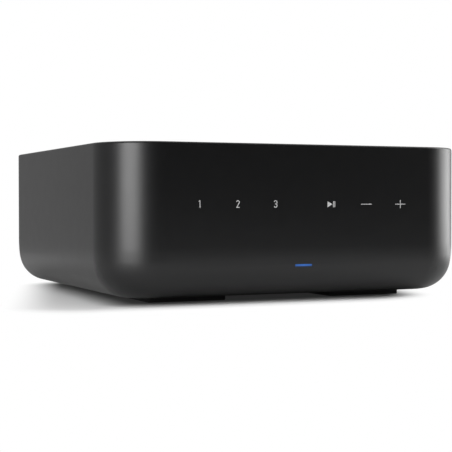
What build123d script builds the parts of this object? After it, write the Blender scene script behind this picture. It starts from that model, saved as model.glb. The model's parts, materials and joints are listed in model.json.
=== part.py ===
from build123d import *
import os
from math import cos, radians, sin

# Streaming amplifier in millimetres: a moulded tub with touch keys in its front wall, a drop-in cover,
# a connector bay sunk in its back, and the boards, supply and heat sinks that it holds.
# The front faces -Y and +Z is up. The origin lies on the floor, under the middle of the housing.

# Housing
body_width = 220.0
body_depth = 220.0
body_height = 82.3
corner_radius = 31.0
core_corner = 5.0
base_ease_radius = 100.0
base_ease_tilt = 4.0
base_blend_radius = 40.0
base_blend_tilt = 12.0
base_radius = 18.5
rim_radius = 1.2
wall = 3.5
cover_thickness = 3.0
cover_recess = 0.4
cover_gap = 0.3
cover_frame_height = 4.0
cover_frame_width = 1.8
rib_depth = 4.0
rib_width = 1.8
rib_short_height = 9.0
ribs_per_wall = 4

# Feet
foot_height = 3.5
foot_width = 46.0
foot_length = 36.0
foot_corner_radius = 1.0
foot_taper = 4.0
foot_recess = 1.0
foot_gap = 0.1
foot_side_inset = 31.2
front_foot_inset = 31.0
rear_foot_inset = 27.0

# Cooling slots in the base
vent_width = 2.6
vent_length = 36.0
vent_pitch = 6.4
vents_per_field = 10
vent_field_x = 43.0

# Connector bay and rear panel
bay_width = 156.0
bay_height = 54.0
bay_lift = 8.5
bay_depth = 16.0
bay_corner_radius = 6.0
bay_wall = 2.5
flange_thickness = 2.5
flange_lip = 3.0
panel_thickness = 2.0
panel_gap = 0.2
cut_gap = 0.25
port_gap = 1.7
socket_proud = 0.5
flange_cut_gap = 1.0
upper_row_drop = 18.0

# Screws, modelled with plain shanks in plain holes
screw_radius = 1.5
screw_hole_gap = 0.2
screw_pilot_gap = 0.05
screw_head_radius = 2.8
screw_head_height = 1.8
screw_drive_radius = 1.0
screw_drive_depth = 1.0
screw_tip_room = 1.0
board_screw_length = 7.0
panel_screw_length = 9.0
panel_screw_inset = 5.0
boss_radius = 3.3

# Screw towers for the cover
tower_inset = 24.0
tower_bay_gap = 0.7
tower_radius = 4.8
tower_height = 58.0
tower_seat_lift = 46.0
tower_web = 2.0
tower_notch_gap = 1.5
cover_screw_length = 20.0
counterbore_gap = 0.4

# Boards
board_thickness = 1.6
board_lift = 7.0
board_wall_gap = 8.5
board_gap = 8.0
board_edge_gap = 0.3
board_screw_inset = 5.5
front_board_depth = 74.0
board_split_x = 14.0
main_board_ear_cut = 13.0
chip_height = 1.4
terminal_width = 24.0
terminal_depth = 7.0
terminal_height = 7.0

# Touch keys and status light in the front wall
key_lift = 49.5
key_pitch = 22.06
key_group_gap = 33.95
keys_per_group = 3
key_pad_size = 9.0
touch_board_inset = 26.0
touch_board_gap = 3.0
touch_board_key_room = 10.0
touch_screw_inset = 5.0
light_width = 10.2
light_height = 1.2
light_lift = 16.5
light_gap = 0.1
light_flange = 1.0
lamp_thickness = 0.8
lamp_size = 2.0
ribbon_width = 16.0
ribbon_thickness = 0.4
ribbon_plug_height = 2.4
ribbon_plug_size = 4.0
ribbon_socket_height = 4.0

# Low-level sockets that stand on the main board
ethernet_mouth_width = 11.8
ethernet_mouth_height = 8.2
ethernet_mouth_depth = 13.0
ethernet_wall = 2.1
ethernet_latch_width = 6.4
ethernet_latch_step = 1.6
ethernet_floor = 2.0
ethernet_roof = 1.6
ethernet_depth = 18.0
contact_pitch = 1.02
contact_width = 0.4
contact_height = 0.5
contact_length = 8.5
contact_count = 8
usb_width = 13.2
usb_height = 5.8
usb_depth = 14.0
video_width = 15.2
video_height = 6.0
video_depth = 12.0
socket_skin = 0.4
tongue_thickness = 1.2
tongue_setback = 1.5
optical_mouth = 7.8
optical_wall = 1.3
optical_floor = 2.2
optical_roof = 1.0
optical_depth = 14.0
optical_swing_room = 1.5
optical_lens_radius = 1.3
shutter_thickness = 0.8
shutter_setback = 2.6
shutter_gap = 0.25
shutter_axle_radius = 0.5
shutter_axle_gap = 0.06
shutter_axle_grip = 0.8
jack_width = 8.0
jack_height = 8.0
jack_depth = 15.0
jack_bore_radius = 1.8
jack_nose_radius = 3.0
jack_end_wall = 1.5
phono_width = 11.0
phono_lift = 8.4
phono_depth = 9.0
phono_pin_radius = 4.15
phono_skin = 0.5
phono_reach = 9.0
phono_core_setback = 0.6
phono_collar_radius = 5.4
phono_collar_thickness = 1.0
phono_contact_radius = 1.65
button_radius = 1.6
button_gap = 0.1
button_travel = 0.6
button_proud = 0.8
button_flange = 0.8
button_flange_radius = 2.4
button_width = 5.0

# Mains inlet and power switch
inlet_mouth_width = 14.6
inlet_mouth_height = 8.4
inlet_mouth_depth = 12.0
inlet_wall = 1.6
inlet_lip = 2.0
inlet_flange = 1.6
inlet_waist = 1.4
inlet_pin_radius = 1.2
inlet_pin_pitch = 8.6
inlet_pin_length = 8.5
tail_length = 6.0
rocker_width = 10.0
rocker_radius = 8.6
rocker_face = 5.0
rocker_dish = 1.0
rocker_back = 3.0
rocker_edge = 0.6
rocker_tilt = 9.0
rocker_gap = 0.3
pivot_radius = 1.2
pivot_gap = 0.08
pivot_grip = 0.9
pivot_depth = 3.0
switch_wall = 1.4
switch_lip = 1.0
switch_flange = 1.6
switch_body_depth = 15.0
switch_tail_pitch = 10.0
switch_tail_width = 4.8
switch_tail_thickness = 0.8

# Loudspeaker terminals
post_pitch = 19.0
post_radius = 3.0
post_bore_radius = 2.0
post_bore_depth = 20.0
post_reach = 13.5
post_tail = 12.0
post_cross_hole_radius = 1.6
post_gap = 0.08
shoulder_radius = 4.6
shoulder_thickness = 1.0
collar_radius = 7.8
collar_thickness = 2.0
collar_edge = 0.6
collar_neck_radius = 4.4
washer_radius = 5.6
washer_thickness = 0.8
cap_radius = 7.0
cap_length = 11.2
cap_flute_radius = 0.9
cap_flute_start = 1.5
cap_flutes = 12
cap_chamfer = 1.0
nut_across_flats = 9.0
nut_thickness = 3.0
nut_flange_radius = 6.8
nut_flange_thickness = 1.0

# Power supply parts
supply_edge = 4.0
supply_row_gap = 14.0
capacitor_radius = 8.0
capacitor_height = 32.0
small_capacitor_radius = 6.0
small_capacitor_height = 24.0
can_edge = 0.8
can_crimp = 0.6
core_width = 38.0
core_depth = 14.0
core_height = 30.0
core_leg = 9.0
coil_width = 28.0
coil_depth = 28.0
coil_corner = 6.0
coil_gap = 0.3
bobbin_foot = 1.0
choke_radius = 11.0
choke_hole_radius = 4.5
choke_height = 10.0
choke_split = 1.6
choke_base = 24.0
choke_base_height = 1.5
fuse_length = 20.0
fuse_radius = 2.4
fuse_clip_width = 5.0
fuse_clip_wall = 0.4
fuse_lift = 5.0
supply_sink_width = 12.0
supply_sink_length = 26.0
supply_sink_height = 26.0
supply_sink_base = 3.0
supply_sink_fins = 4

# Amplifier parts
sink_width = 60.0
sink_length = 24.0
sink_height = 38.0
sink_base = 5.0
sink_fins = 12
fin_thickness = 1.5
sink_stud_radius = 2.5
sink_stud_inset = 4.0
output_chip_size = 12.0
output_chip_spread = 32.0
inductor_size = 12.0
inductor_height = 12.0
inductor_pitch = 14.5
inductor_edge = 0.8
filter_capacitor_radius = 4.0
filter_capacitor_height = 12.0
filter_capacitor_spread = 44.0

# Main board parts, each placed by its share of the board's half width and of its depth
processor_place = (-0.38, 0.55)
processor_size = (22.0, 22.0, 1.6)
memory_place = (-0.38, 0.22)
memory_size = (12.0, 10.0, 1.2)
clock_place = (-0.66, 0.22)
clock_size = (7.0, 5.0, 1.2)
converter_place = (-0.66, 0.55)
converter_size = (9.0, 9.0, 1.2)
bridge_place = (-0.1, 0.55)
bridge_size = (9.0, 9.0, 1.2)
power_plug_place = (0.68, 0.22)
power_plug_size = (10.0, 12.0, 6.5)
control_place = (0.66, 0.55)
control_size = (14.0, 14.0, 1.4)
ribbon_socket_place = (0.0, 0.06)
module_place = (0.26, 0.5)
module_size = (40.0, 30.0, 3.0)
module_lid_inset = 1.5
module_lid_height = 1.0
aerial_length = 24.0
aerial_height = 18.0
aerial_thickness = 0.8
aerial_lift = 30.0

# Wires inside the housing
lead_radius = 1.1
lead_pitch = 5.0
lead_bend = 6.0
lead_straight = 30.0
lead_fall = 5.0
aerial_lead_radius = 0.6
aerial_lead_spread = 24.0
aerial_lead_drop = 9.0
aerial_lead_end = 8.0

# Heights and depths that follow
base_z = foot_height
floor_z = base_z + wall
top_z = base_z + body_height
wall_low_z = base_z + base_radius + wall
cover_high_z = top_z - cover_recess
cover_low_z = cover_high_z - cover_thickness
front_y = -body_depth / 2
back_y = body_depth / 2
inner_x = body_width / 2 - wall
inner_y = body_depth / 2 - wall
panel_face_y = back_y - bay_depth
panel_back_y = panel_face_y - panel_thickness
flange_y = panel_back_y - flange_thickness
socket_face_y = panel_face_y + socket_proud
bay_floor_z = base_z + bay_lift
bay_top_z = bay_floor_z + bay_height
bay_mid_z = (bay_floor_z + bay_top_z) / 2
upper_row_z = bay_top_z - upper_row_drop
board_low_z = floor_z + board_lift
board_top_z = board_low_z + board_thickness
key_z = base_z + key_lift
light_z = base_z + light_lift
pilot_radius = screw_radius + screw_pilot_gap
screw_hole_radius = screw_radius + screw_hole_gap

# Board outlines: the supply and the amplifier share the front, the main board has the back
board_reach_x = inner_x - board_wall_gap
board_front_y = board_wall_gap - inner_y
board_mid_y = board_front_y + front_board_depth
supply_high_x = board_split_x - board_gap / 2
amp_low_x = board_split_x + board_gap / 2
amp_mid_x = (amp_low_x + board_reach_x) / 2
main_front_y = board_mid_y + board_gap
main_back_y = flange_y - board_edge_gap
main_ear_y = main_back_y - main_board_ear_cut
port_half = bay_width / 2 - panel_screw_inset - boss_radius - port_gap
terminal_y = board_mid_y - terminal_depth / 2 - board_edge_gap

# Touch board behind the front wall, and the run of the ribbon from it
touch_board_half = body_width / 2 - touch_board_inset
touch_board_front_y = touch_board_gap - inner_y
touch_board_back_y = touch_board_front_y + board_thickness
touch_board_low_z = light_z - lamp_size
touch_board_high_z = key_z + touch_board_key_room
ribbon_start_y = touch_board_back_y + ribbon_plug_height
ribbon_start_z = (touch_board_low_z + touch_board_high_z) / 2
ribbon_high_z = touch_board_high_z
ribbon_end_z = board_top_z + ribbon_socket_height


def block(x_low, x_high, y_low, y_high, z_low, z_high):
    """Box between two limits on each axis."""
    size = (x_high - x_low, y_high - y_low, z_high - z_low)
    return Pos(x_low, y_low, z_low) * Box(*size, align=(Align.MIN, Align.MIN, Align.MIN))


def slab(x, y, width, depth, z_low, z_high):
    """Box round a place in plan, between two heights."""
    return block(x - width / 2, x + width / 2, y - depth / 2, y + depth / 2, z_low, z_high)


def rod_x(radius, y, z, x_low, x_high):
    """Cylinder across the housing."""
    low_end = (Align.CENTER, Align.CENTER, Align.MIN)
    return Pos(x_low, y, z) * Rot(0, 90, 0) * Cylinder(radius, x_high - x_low, align=low_end)


def rod_y(radius, x, z, y_low, y_high):
    """Cylinder from front to back."""
    low_end = (Align.CENTER, Align.CENTER, Align.MIN)
    return Pos(x, y_low, z) * Rot(-90, 0, 0) * Cylinder(radius, y_high - y_low, align=low_end)


def rod_z(radius, x, y, z_low, z_high):
    """Upright cylinder."""
    low_end = (Align.CENTER, Align.CENTER, Align.MIN)
    return Pos(x, y, z_low) * Cylinder(radius, z_high - z_low, align=low_end)


def prism(outline, z_low, z_high):
    """Upright solid from a plan outline."""
    return extrude(Pos(0, 0, z_low) * outline, z_high - z_low)


def upright(outline, y_low, y_high):
    """Solid from an outline drawn as an elevation, between two depths."""
    return extrude(Pos(0, y_high, 0) * Rot(90, 0, 0) * outline, y_high - y_low)


def lead(points, bend, radius):
    """Insulated wire: straight runs joined by arcs."""
    path = FilletPolyline(*points, radius=bend)
    section = Plane(origin=path @ 0, z_dir=path % 0) * Circle(radius)
    return sweep(section, path=path)


def row_places(widths, low, high):
    """Centres of pieces laid side by side between two limits with equal gaps."""
    gap = (high - low - sum(widths)) / (len(widths) - 1)
    places = []
    edge = low
    for width in widths:
        places.append(edge + width / 2)
        edge += width + gap
    return places


# Sizes of the rear panel's pieces
ethernet_width = ethernet_mouth_width + 2 * ethernet_wall
ethernet_height = ethernet_floor + ethernet_latch_step + ethernet_mouth_height + ethernet_roof
optical_width = optical_mouth + 2 * optical_wall
shutter_axle_z = board_top_z + optical_floor + optical_mouth
shutter_axle_room = shutter_axle_radius + shutter_gap
optical_high_z = shutter_axle_z + shutter_axle_room + optical_roof
inlet_body = (inlet_mouth_width + 2 * inlet_wall, inlet_mouth_height + 2 * inlet_wall)
switch_mouth_half = rocker_radius + rocker_gap
switch_body = (
    rocker_width + 2 * (rocker_gap + pivot_grip) + switch_wall,
    2 * (switch_mouth_half + switch_wall),
)

# Places along the two rows of the rear panel, from the left end as the front sees it
lower_widths = [phono_width] * 3 + [jack_width] * 2
lower_widths += [button_width, optical_width, video_width, usb_width, ethernet_width]
lower_places = row_places(lower_widths, -port_half, port_half)
line_left_x, line_right_x, subwoofer_x, infrared_x, trigger_x = lower_places[:5]
button_x, optical_x, video_x, usb_x, ethernet_x = lower_places[5:]
pair_width = post_pitch + 2 * collar_radius
upper_widths = [inlet_body[0] + 2 * inlet_lip, switch_body[0] + 2 * switch_lip, pair_width, pair_width]
inlet_x, switch_x, left_pair_x, right_pair_x = row_places(upper_widths, -port_half, port_half)
post_places = {
    "left_negative": left_pair_x - post_pitch / 2,
    "left_positive": left_pair_x + post_pitch / 2,
    "right_negative": right_pair_x - post_pitch / 2,
    "right_positive": right_pair_x + post_pitch / 2,
}
phono_places = [line_left_x, line_right_x, subwoofer_x]
phono_z = board_top_z + phono_lift
jack_z = board_top_z + jack_height / 2
button_z = jack_z

# Places of the towers and screws
tower_x = bay_width / 2 + bay_wall + tower_bay_gap + tower_radius
tower_y = body_depth / 2 - tower_inset
tower_places = [(sx * tower_x, sy * tower_y) for sx in (-1, 1) for sy in (-1, 1)]
notch_x = tower_x - tower_radius - tower_notch_gap
notch_y = tower_y - tower_radius - tower_notch_gap
panel_screw_places = [
    (sx * (bay_width / 2 - panel_screw_inset), z)
    for sx in (-1, 1)
    for z in (bay_floor_z + panel_screw_inset, bay_top_z - panel_screw_inset)
]
front_screw_y = board_front_y + board_screw_inset
mid_screw_y = board_mid_y - board_screw_inset
outer_screw_x = board_reach_x - board_screw_inset
notch_screw_x = notch_x - boss_radius
supply_inner_screw_x = supply_high_x - board_screw_inset
amp_inner_screw_x = amp_low_x + board_screw_inset
supply_screws = [(-notch_screw_x, front_screw_y), (supply_inner_screw_x, front_screw_y)]
supply_screws += [(-outer_screw_x, mid_screw_y), (supply_inner_screw_x, mid_screw_y)]
amp_screws = [(notch_screw_x, front_screw_y), (amp_inner_screw_x, front_screw_y)]
amp_screws += [(outer_screw_x, mid_screw_y), (amp_inner_screw_x, mid_screw_y)]
main_screws = [
    (sx * outer_screw_x, y)
    for sx in (-1, 1)
    for y in (main_front_y + board_screw_inset, main_ear_y - board_screw_inset)
]
board_screw_places = supply_screws + amp_screws + main_screws
touch_screw_places = [
    (sx * (touch_board_half - touch_screw_inset), z)
    for sx in (-1, 1)
    for z in (touch_board_low_z + touch_screw_inset, touch_board_high_z - touch_screw_inset)
]

# Touch key places: a group of numbered keys and a group of transport keys, each side of the middle
key_places = [
    side * (key_group_gap / 2 + step * key_pitch) for side in (-1, 1) for step in range(keys_per_group)
]


def eased_block(inset, high_z):
    """Rounded-square block set in from the housing's outside: its walls ease into its base in three arcs."""
    arcs = (
        (base_ease_radius, 0.0, base_ease_tilt),
        (base_blend_radius, base_ease_tilt, base_blend_tilt),
        (base_radius, base_blend_tilt, 90.0),
    )
    x, z = 0.0, 0.0
    points = [(x, z)]
    for radius, first, last in arcs:
        for tilt in ((first + last) / 2, last):
            across = cos(radians(first)) - cos(radians(tilt))
            down = sin(radians(tilt)) - sin(radians(first))
            points.append((x + (radius - inset) * across, z + (radius - inset) * down))
        x, z = points[-1]
    half_x, half_y = body_width / 2 - inset, body_depth / 2 - inset
    low_z, core_inset = base_z + inset, corner_radius - inset - core_corner
    points = [(half_x - across, low_z + z - down) for across, down in points]
    curves = [ThreePointArc(*points[start : start + 3]) for start in (0, 2, 4)]
    core_x = half_x - core_inset
    rest = Polyline(points[-1], (core_x, low_z), (core_x, high_z), (half_x, high_z), points[0])
    section = Plane.XZ * make_face([*curves, rest])
    ring = sweep(section, path=RectangleRounded(2 * half_x, 2 * half_y, corner_radius - inset).wire())
    outline = RectangleRounded(2 * core_x, 2 * (half_y - core_inset), core_corner)
    return ring + prism(outline, low_z, high_z)


def housing_envelope():
    """Outside of the housing: rounded in plan, eased into the base, soft at the rim."""
    body = eased_block(0.0, top_z)
    return fillet(body.faces().sort_by(Axis.Z)[-1].edges(), rim_radius)


def housing_cavity():
    """Inside of the tub, open at the top, with one wall's thickness all round."""
    return eased_block(wall, top_z + wall)


def bay_outline(margin):
    """The connector bay in elevation, grown by a margin."""
    width, height = bay_width + 2 * margin, bay_height + 2 * margin
    return Pos(0, bay_mid_z) * RectangleRounded(width, height, bay_corner_radius + margin)


def foot_places():
    """Centre of each foot, by name."""
    front = front_y + front_foot_inset + foot_length / 2
    rear = back_y - rear_foot_inset - foot_length / 2
    half = body_width / 2 - foot_side_inset - foot_width / 2
    return {
        "foot_front_left": (-half, front),
        "foot_front_right": (half, front),
        "foot_rear_left": (-half, rear),
        "foot_rear_right": (half, rear),
    }


def vent_slots():
    """Cooling slots through the base, in a field each side of the middle."""
    slot = SlotOverall(vent_length, vent_width, rotation=90)
    reach = (vents_per_field - 1) * vent_pitch / 2
    slots = []
    for side in (-1, 1):
        for step in range(vents_per_field):
            x = side * vent_field_x - reach + step * vent_pitch
            slots.append(prism(Pos(x, 0) * slot, base_z - wall, floor_z + wall))
    return slots


def wall_ribs():
    """Ribs inside the four walls that carry the edge of the cover: tall at the sides, short elsewhere."""
    ribs = []
    half = rib_width / 2
    side_pitch = (body_depth - 2 * corner_radius) / (ribs_per_wall + 1)
    front_pitch = (body_width - 2 * corner_radius) / (ribs_per_wall + 1)
    short_z = cover_low_z - rib_short_height
    for step in range(ribs_per_wall):
        y = (step - (ribs_per_wall - 1) / 2) * side_pitch
        x = (step - (ribs_per_wall - 1) / 2) * front_pitch
        for side in (-1, 1):
            x_low, x_high = sorted((side * (inner_x - rib_depth), side * (inner_x + wall / 2)))
            y_low, y_high = sorted((side * (inner_y - rib_depth), side * (inner_y + wall / 2)))
            ribs.append(block(x_low, x_high, y - half, y + half, wall_low_z, cover_low_z))
            ribs.append(block(x - half, x + half, y_low, y_high, short_z, cover_low_z))
    return ribs


def tower_webs(cavity):
    """Webs that tie each screw tower to its corner of the tub."""
    webs = []
    for x, y in tower_places:
        angle = 45.0 * (1 if x > 0 else 3) * (1 if y > 0 else -1)
        web = block(0, corner_radius, -tower_web / 2, tower_web / 2, base_z, base_z + tower_height)
        webs.append((Pos(x, y) * Rot(0, 0, angle) * web) & cavity)
    return webs


def port_outlines(gap):
    """Outlines of everything that passes through the rear panel, each grown by a gap."""
    outlines = []
    for x, width, height in (
        (ethernet_x, ethernet_width, ethernet_height),
        (usb_x, usb_width, usb_height),
        (video_x, video_width, video_height),
        (optical_x, optical_width, optical_high_z - board_top_z),
    ):
        outlines.append(Pos(x, board_top_z + height / 2) * Rectangle(width + 2 * gap, height + 2 * gap))
    outlines += [Pos(x, jack_z) * Circle(jack_nose_radius + gap) for x in (trigger_x, infrared_x)]
    outlines += [Pos(x, phono_z) * Circle(phono_pin_radius + gap) for x in phono_places]
    outlines += [Pos(x, upper_row_z) * Circle(collar_neck_radius + gap) for x in post_places.values()]
    for x, (width, height) in ((inlet_x, inlet_body), (switch_x, switch_body)):
        outlines.append(Pos(x, upper_row_z) * Rectangle(width + 2 * gap, height + 2 * gap))
    return outlines


def body_shell():
    """The tub: walls and base in one moulding, with bay, bosses, screw towers, ribs and vents."""
    envelope, cavity = housing_envelope(), housing_cavity()
    shell = envelope - cavity
    shell += wall_ribs()
    shell += tower_webs(cavity)
    shell += upright(bay_outline(bay_wall), flange_y, back_y) & envelope
    shell -= upright(bay_outline(0), panel_back_y, back_y + wall)
    shell -= upright(bay_outline(-flange_lip), flange_y - wall, panel_back_y + wall)
    inside_wall_z = base_z + wall / 2
    inside_wall_y = front_y + wall / 2
    panel_boss_y = panel_back_y - panel_screw_length - screw_tip_room
    added = [rod_z(tower_radius, x, y, inside_wall_z, base_z + tower_height) for x, y in tower_places]
    added += [rod_z(boss_radius, x, y, inside_wall_z, board_low_z) for x, y in board_screw_places]
    added += [rod_y(boss_radius, x, z, panel_boss_y, panel_back_y) for x, z in panel_screw_places]
    added += [rod_y(boss_radius, x, z, inside_wall_y, touch_board_front_y) for x, z in touch_screw_places]
    shell += added
    seat_z = base_z + tower_seat_lift
    cuts = vent_slots()
    for x, y in tower_places:
        cuts.append(rod_z(screw_head_radius + counterbore_gap, x, y, base_z - wall, seat_z))
        cuts.append(rod_z(screw_hole_radius, x, y, seat_z, cover_low_z))
    board_pilot_z = board_top_z - board_screw_length
    cuts += [rod_z(pilot_radius, x, y, board_pilot_z, board_top_z) for x, y in board_screw_places]
    pilot_y = panel_boss_y + screw_tip_room
    cuts += [rod_y(pilot_radius, x, z, pilot_y, panel_face_y) for x, z in panel_screw_places]
    cuts += [rod_y(pilot_radius, x, z, inside_wall_y, touch_board_back_y) for x, z in touch_screw_places]
    cuts += [upright(one, flange_y - wall, panel_back_y) for one in port_outlines(flange_cut_gap)]
    half_x, half_z = light_width / 2 + light_gap, light_height / 2 + light_gap
    cuts.append(block(-half_x, half_x, front_y - wall, wall - inner_y, light_z - half_z, light_z + half_z))
    for x, y in foot_places().values():
        pad = Pos(x, y) * RectangleRounded(foot_width, foot_length, foot_corner_radius)
        cuts.append(prism(pad, base_z - wall, base_z + foot_recess))
    return shell - cuts


def top_cover():
    """Cover that drops inside the rim, stiffened by a frame, with a boss over each screw tower."""
    width, depth = 2 * (inner_x - cover_gap), 2 * (inner_y - cover_gap)
    plate = RectangleRounded(width, depth, corner_radius - wall - cover_gap)
    cover = prism(plate, cover_low_z, cover_high_z)
    cover = fillet(cover.faces().sort_by(Axis.Z)[-1].edges(), cover_recess)
    frame_inset = wall + rib_depth + cover_frame_width
    frame_back = flange_y - bay_wall
    frame_front = front_y + frame_inset
    size = (body_width - 2 * frame_inset, frame_back - frame_front)
    outline = Pos(0, (frame_front + frame_back) / 2) * RectangleRounded(*size, corner_radius - frame_inset)
    frame = outline - offset(outline, -cover_frame_width)
    cover += prism(frame, cover_low_z - cover_frame_height, cover_low_z)
    tower_z = base_z + tower_height
    cover += [rod_z(tower_radius, x, y, tower_z, cover_low_z) for x, y in tower_places]
    cover -= upright(bay_outline(bay_wall + cover_gap), flange_y - cover_gap, back_y)
    tip_z = base_z + tower_seat_lift + cover_screw_length + screw_tip_room
    return cover - [rod_z(pilot_radius, x, y, tower_z, tip_z) for x, y in tower_places]


def foot(x, y):
    """Rubber foot: a tapered pad whose back seats in its recess in the base."""
    pad = Pos(x, y, base_z) * RectangleRounded(foot_width, foot_length, foot_corner_radius)
    size = (foot_width - 2 * foot_gap, foot_length - 2 * foot_gap, foot_corner_radius)
    back = prism(Pos(x, y) * RectangleRounded(*size), base_z, base_z + foot_recess)
    return extrude(pad, foot_height, dir=(0, 0, -1), taper=foot_taper) + back


def screw(place, length):
    """Screw with a round head and a drive recess, its shank pointing down from the place."""
    head = rod_z(screw_head_radius, 0, 0, 0, screw_head_height)
    shank = rod_z(screw_radius, 0, 0, -length, 0)
    drive_z = screw_head_height - screw_drive_depth
    return place * (head + shank - rod_z(screw_drive_radius, 0, 0, drive_z, screw_head_height))


def cover_screws():
    """Long screws, driven from below, that pull the cover down onto the towers."""
    seat_z = base_z + tower_seat_lift
    return [screw(Pos(x, y, seat_z) * Rot(180, 0, 0), cover_screw_length) for x, y in tower_places]


def panel_screws():
    """Screws that hold the rear panel to the bay's flange."""
    return [
        screw(Pos(x, panel_face_y, z) * Rot(-90, 0, 0), panel_screw_length) for x, z in panel_screw_places
    ]


def board_screws():
    """Screws through the boards into the base and the front wall."""
    length = board_screw_length - screw_pilot_gap
    screws = [screw(Pos(x, y, board_top_z), length) for x, y in board_screw_places]
    length = touch_board_back_y - front_y - wall / 2 - screw_pilot_gap
    for x, z in touch_screw_places:
        screws.append(screw(Pos(x, touch_board_back_y, z) * Rot(-90, 0, 0), length))
    return screws


def rear_panel():
    """Panel with a cut-out for every connector."""
    panel = upright(bay_outline(-panel_gap), panel_back_y, panel_face_y)
    holes = port_outlines(cut_gap)
    holes.append(Pos(button_x, button_z) * Circle(button_radius + button_gap))
    holes += [Pos(x, z) * Circle(screw_hole_radius) for x, z in panel_screw_places]
    return panel - [upright(hole, flange_y, socket_face_y) for hole in holes]


inlet_face_y = panel_face_y + inlet_flange
inlet_floor_y = inlet_face_y - inlet_mouth_depth
inlet_back_y = inlet_floor_y - inlet_wall
inlet_tail_y = inlet_back_y - tail_length
inlet_pin_places = [inlet_x + side * inlet_pin_pitch / 2 for side in (-1, 1)]


def mains_inlet():
    """Two-pin inlet: a flange on the panel and a body behind it, with a waisted recess."""
    middle = Pos(inlet_x, upper_row_z)
    size = (inlet_body[0] + 2 * inlet_lip, inlet_body[1] + 2 * inlet_lip)
    inlet = upright(middle * RectangleRounded(*size, inlet_lip), panel_face_y, inlet_face_y)
    inlet += upright(middle * Rectangle(*inlet_body), inlet_back_y, panel_face_y)
    mouth = middle * SlotOverall(inlet_mouth_width, inlet_mouth_height)
    for side in (-1, 1):
        waist = Pos(0, side * inlet_mouth_height / 2) * Rot(0, 0, 45) * Rectangle(inlet_waist, inlet_waist)
        mouth -= middle * waist
    inlet -= upright(mouth, inlet_floor_y, inlet_face_y + inlet_flange)
    holes = [rod_y(inlet_pin_radius, x, upper_row_z, inlet_tail_y, inlet_face_y) for x in inlet_pin_places]
    return inlet - holes


def mains_pins():
    """The inlet's two round-nosed pins, with tails for the leads."""
    pins = []
    for x in inlet_pin_places:
        pin = rod_y(inlet_pin_radius, x, upper_row_z, inlet_tail_y, inlet_floor_y + inlet_pin_length)
        pins.append(fillet(pin.faces().sort_by(Axis.Y)[-1].edges(), inlet_pin_radius / 2))
    return pins


switch_face_y = panel_face_y + switch_flange
switch_back_y = switch_face_y - switch_body_depth
switch_tail_y = switch_back_y - tail_length
rocker_axis_y = switch_face_y - pivot_depth


def switch_frame():
    """Rocker switch body: flange, snap-in body, the well that the rocker turns in, and two tails."""
    middle = Pos(switch_x, upper_row_z)
    size = (switch_body[0] + 2 * switch_lip, switch_body[1] + 2 * switch_lip)
    frame = upright(middle * RectangleRounded(*size, switch_lip), panel_face_y, switch_face_y)
    frame += upright(middle * Rectangle(*switch_body), switch_back_y, panel_face_y)
    well = middle * Rectangle(rocker_width + 2 * rocker_gap, 2 * switch_mouth_half)
    frame -= upright(well, rocker_axis_y - rocker_radius - rocker_gap, switch_face_y + switch_flange)
    reach = rocker_width / 2 + 2 * rocker_gap + pivot_grip
    ends = (switch_x - reach, switch_x + reach)
    frame -= rod_x(pivot_radius + pivot_gap, rocker_axis_y, upper_row_z, *ends)
    for side in (-1, 1):
        z_low = upper_row_z + (side * switch_tail_pitch - switch_tail_thickness) / 2
        z_high = z_low + switch_tail_thickness
        half = switch_tail_width / 2
        frame += block(switch_x - half, switch_x + half, switch_tail_y, switch_back_y, z_low, z_high)
    return frame


def switch_rocker():
    """Rocker with a dished face and round ends, tilted so that its upper half is pressed in."""
    face = Polyline(
        (rocker_face, rocker_radius),
        (rocker_face - rocker_dish, 0),
        (rocker_face, -rocker_radius),
        (-rocker_back, -rocker_radius),
        (-rocker_back, rocker_radius),
        close=True,
    )
    profile = Circle(rocker_radius) & make_face(face)
    body = extrude(Plane.YZ * profile, rocker_width / 2, both=True)
    body = fillet(body.edges().filter_by(Axis.X).group_by(Axis.Y)[-1], rocker_edge)
    reach = rocker_width / 2 + rocker_gap + pivot_grip
    body += rod_x(pivot_radius, 0, 0, -reach, reach)
    return Pos(switch_x, rocker_axis_y, upper_row_z) * Rot(rocker_tilt, 0, 0) * body


def board_socket(x, width, z_high, depth):
    """Plain body of a socket that stands on the main board and passes through the panel."""
    half = width / 2
    return block(x - half, x + half, socket_face_y - depth, socket_face_y, board_top_z, z_high)


ethernet_mouth_z = board_top_z + ethernet_floor + ethernet_latch_step
ethernet_roof_z = ethernet_mouth_z + ethernet_mouth_height
ethernet_back_y = socket_face_y - ethernet_mouth_depth


def ethernet_socket():
    """Network socket: a cavity with the latch's step below it."""
    body = board_socket(ethernet_x, ethernet_width, board_top_z + ethernet_height, ethernet_depth)
    half, latch_half = ethernet_mouth_width / 2, ethernet_latch_width / 2
    ends = (ethernet_back_y, socket_face_y + socket_proud)
    latch_z = ethernet_mouth_z - ethernet_latch_step
    body -= block(ethernet_x - half, ethernet_x + half, *ends, ethernet_mouth_z, ethernet_roof_z)
    body -= block(ethernet_x - latch_half, ethernet_x + latch_half, *ends, latch_z, ethernet_roof_z)
    return body


def ethernet_contacts():
    """Row of contacts under the network socket's roof."""
    contacts = []
    for step in range(contact_count):
        x_low = ethernet_x + (step - (contact_count - 1) / 2) * contact_pitch - contact_width / 2
        y_high = ethernet_back_y + contact_length
        z_low = ethernet_roof_z - contact_height
        contacts.append(block(x_low, x_low + contact_width, ethernet_back_y, y_high, z_low, ethernet_roof_z))
    return contacts


def metal_socket(x, width, height, depth):
    """Folded steel shell of a small socket."""
    outside = Pos(x, board_top_z + height / 2) * RectangleRounded(width, height, 2 * socket_skin)
    return upright(outside - offset(outside, -socket_skin), socket_face_y - depth, socket_face_y)


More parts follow.
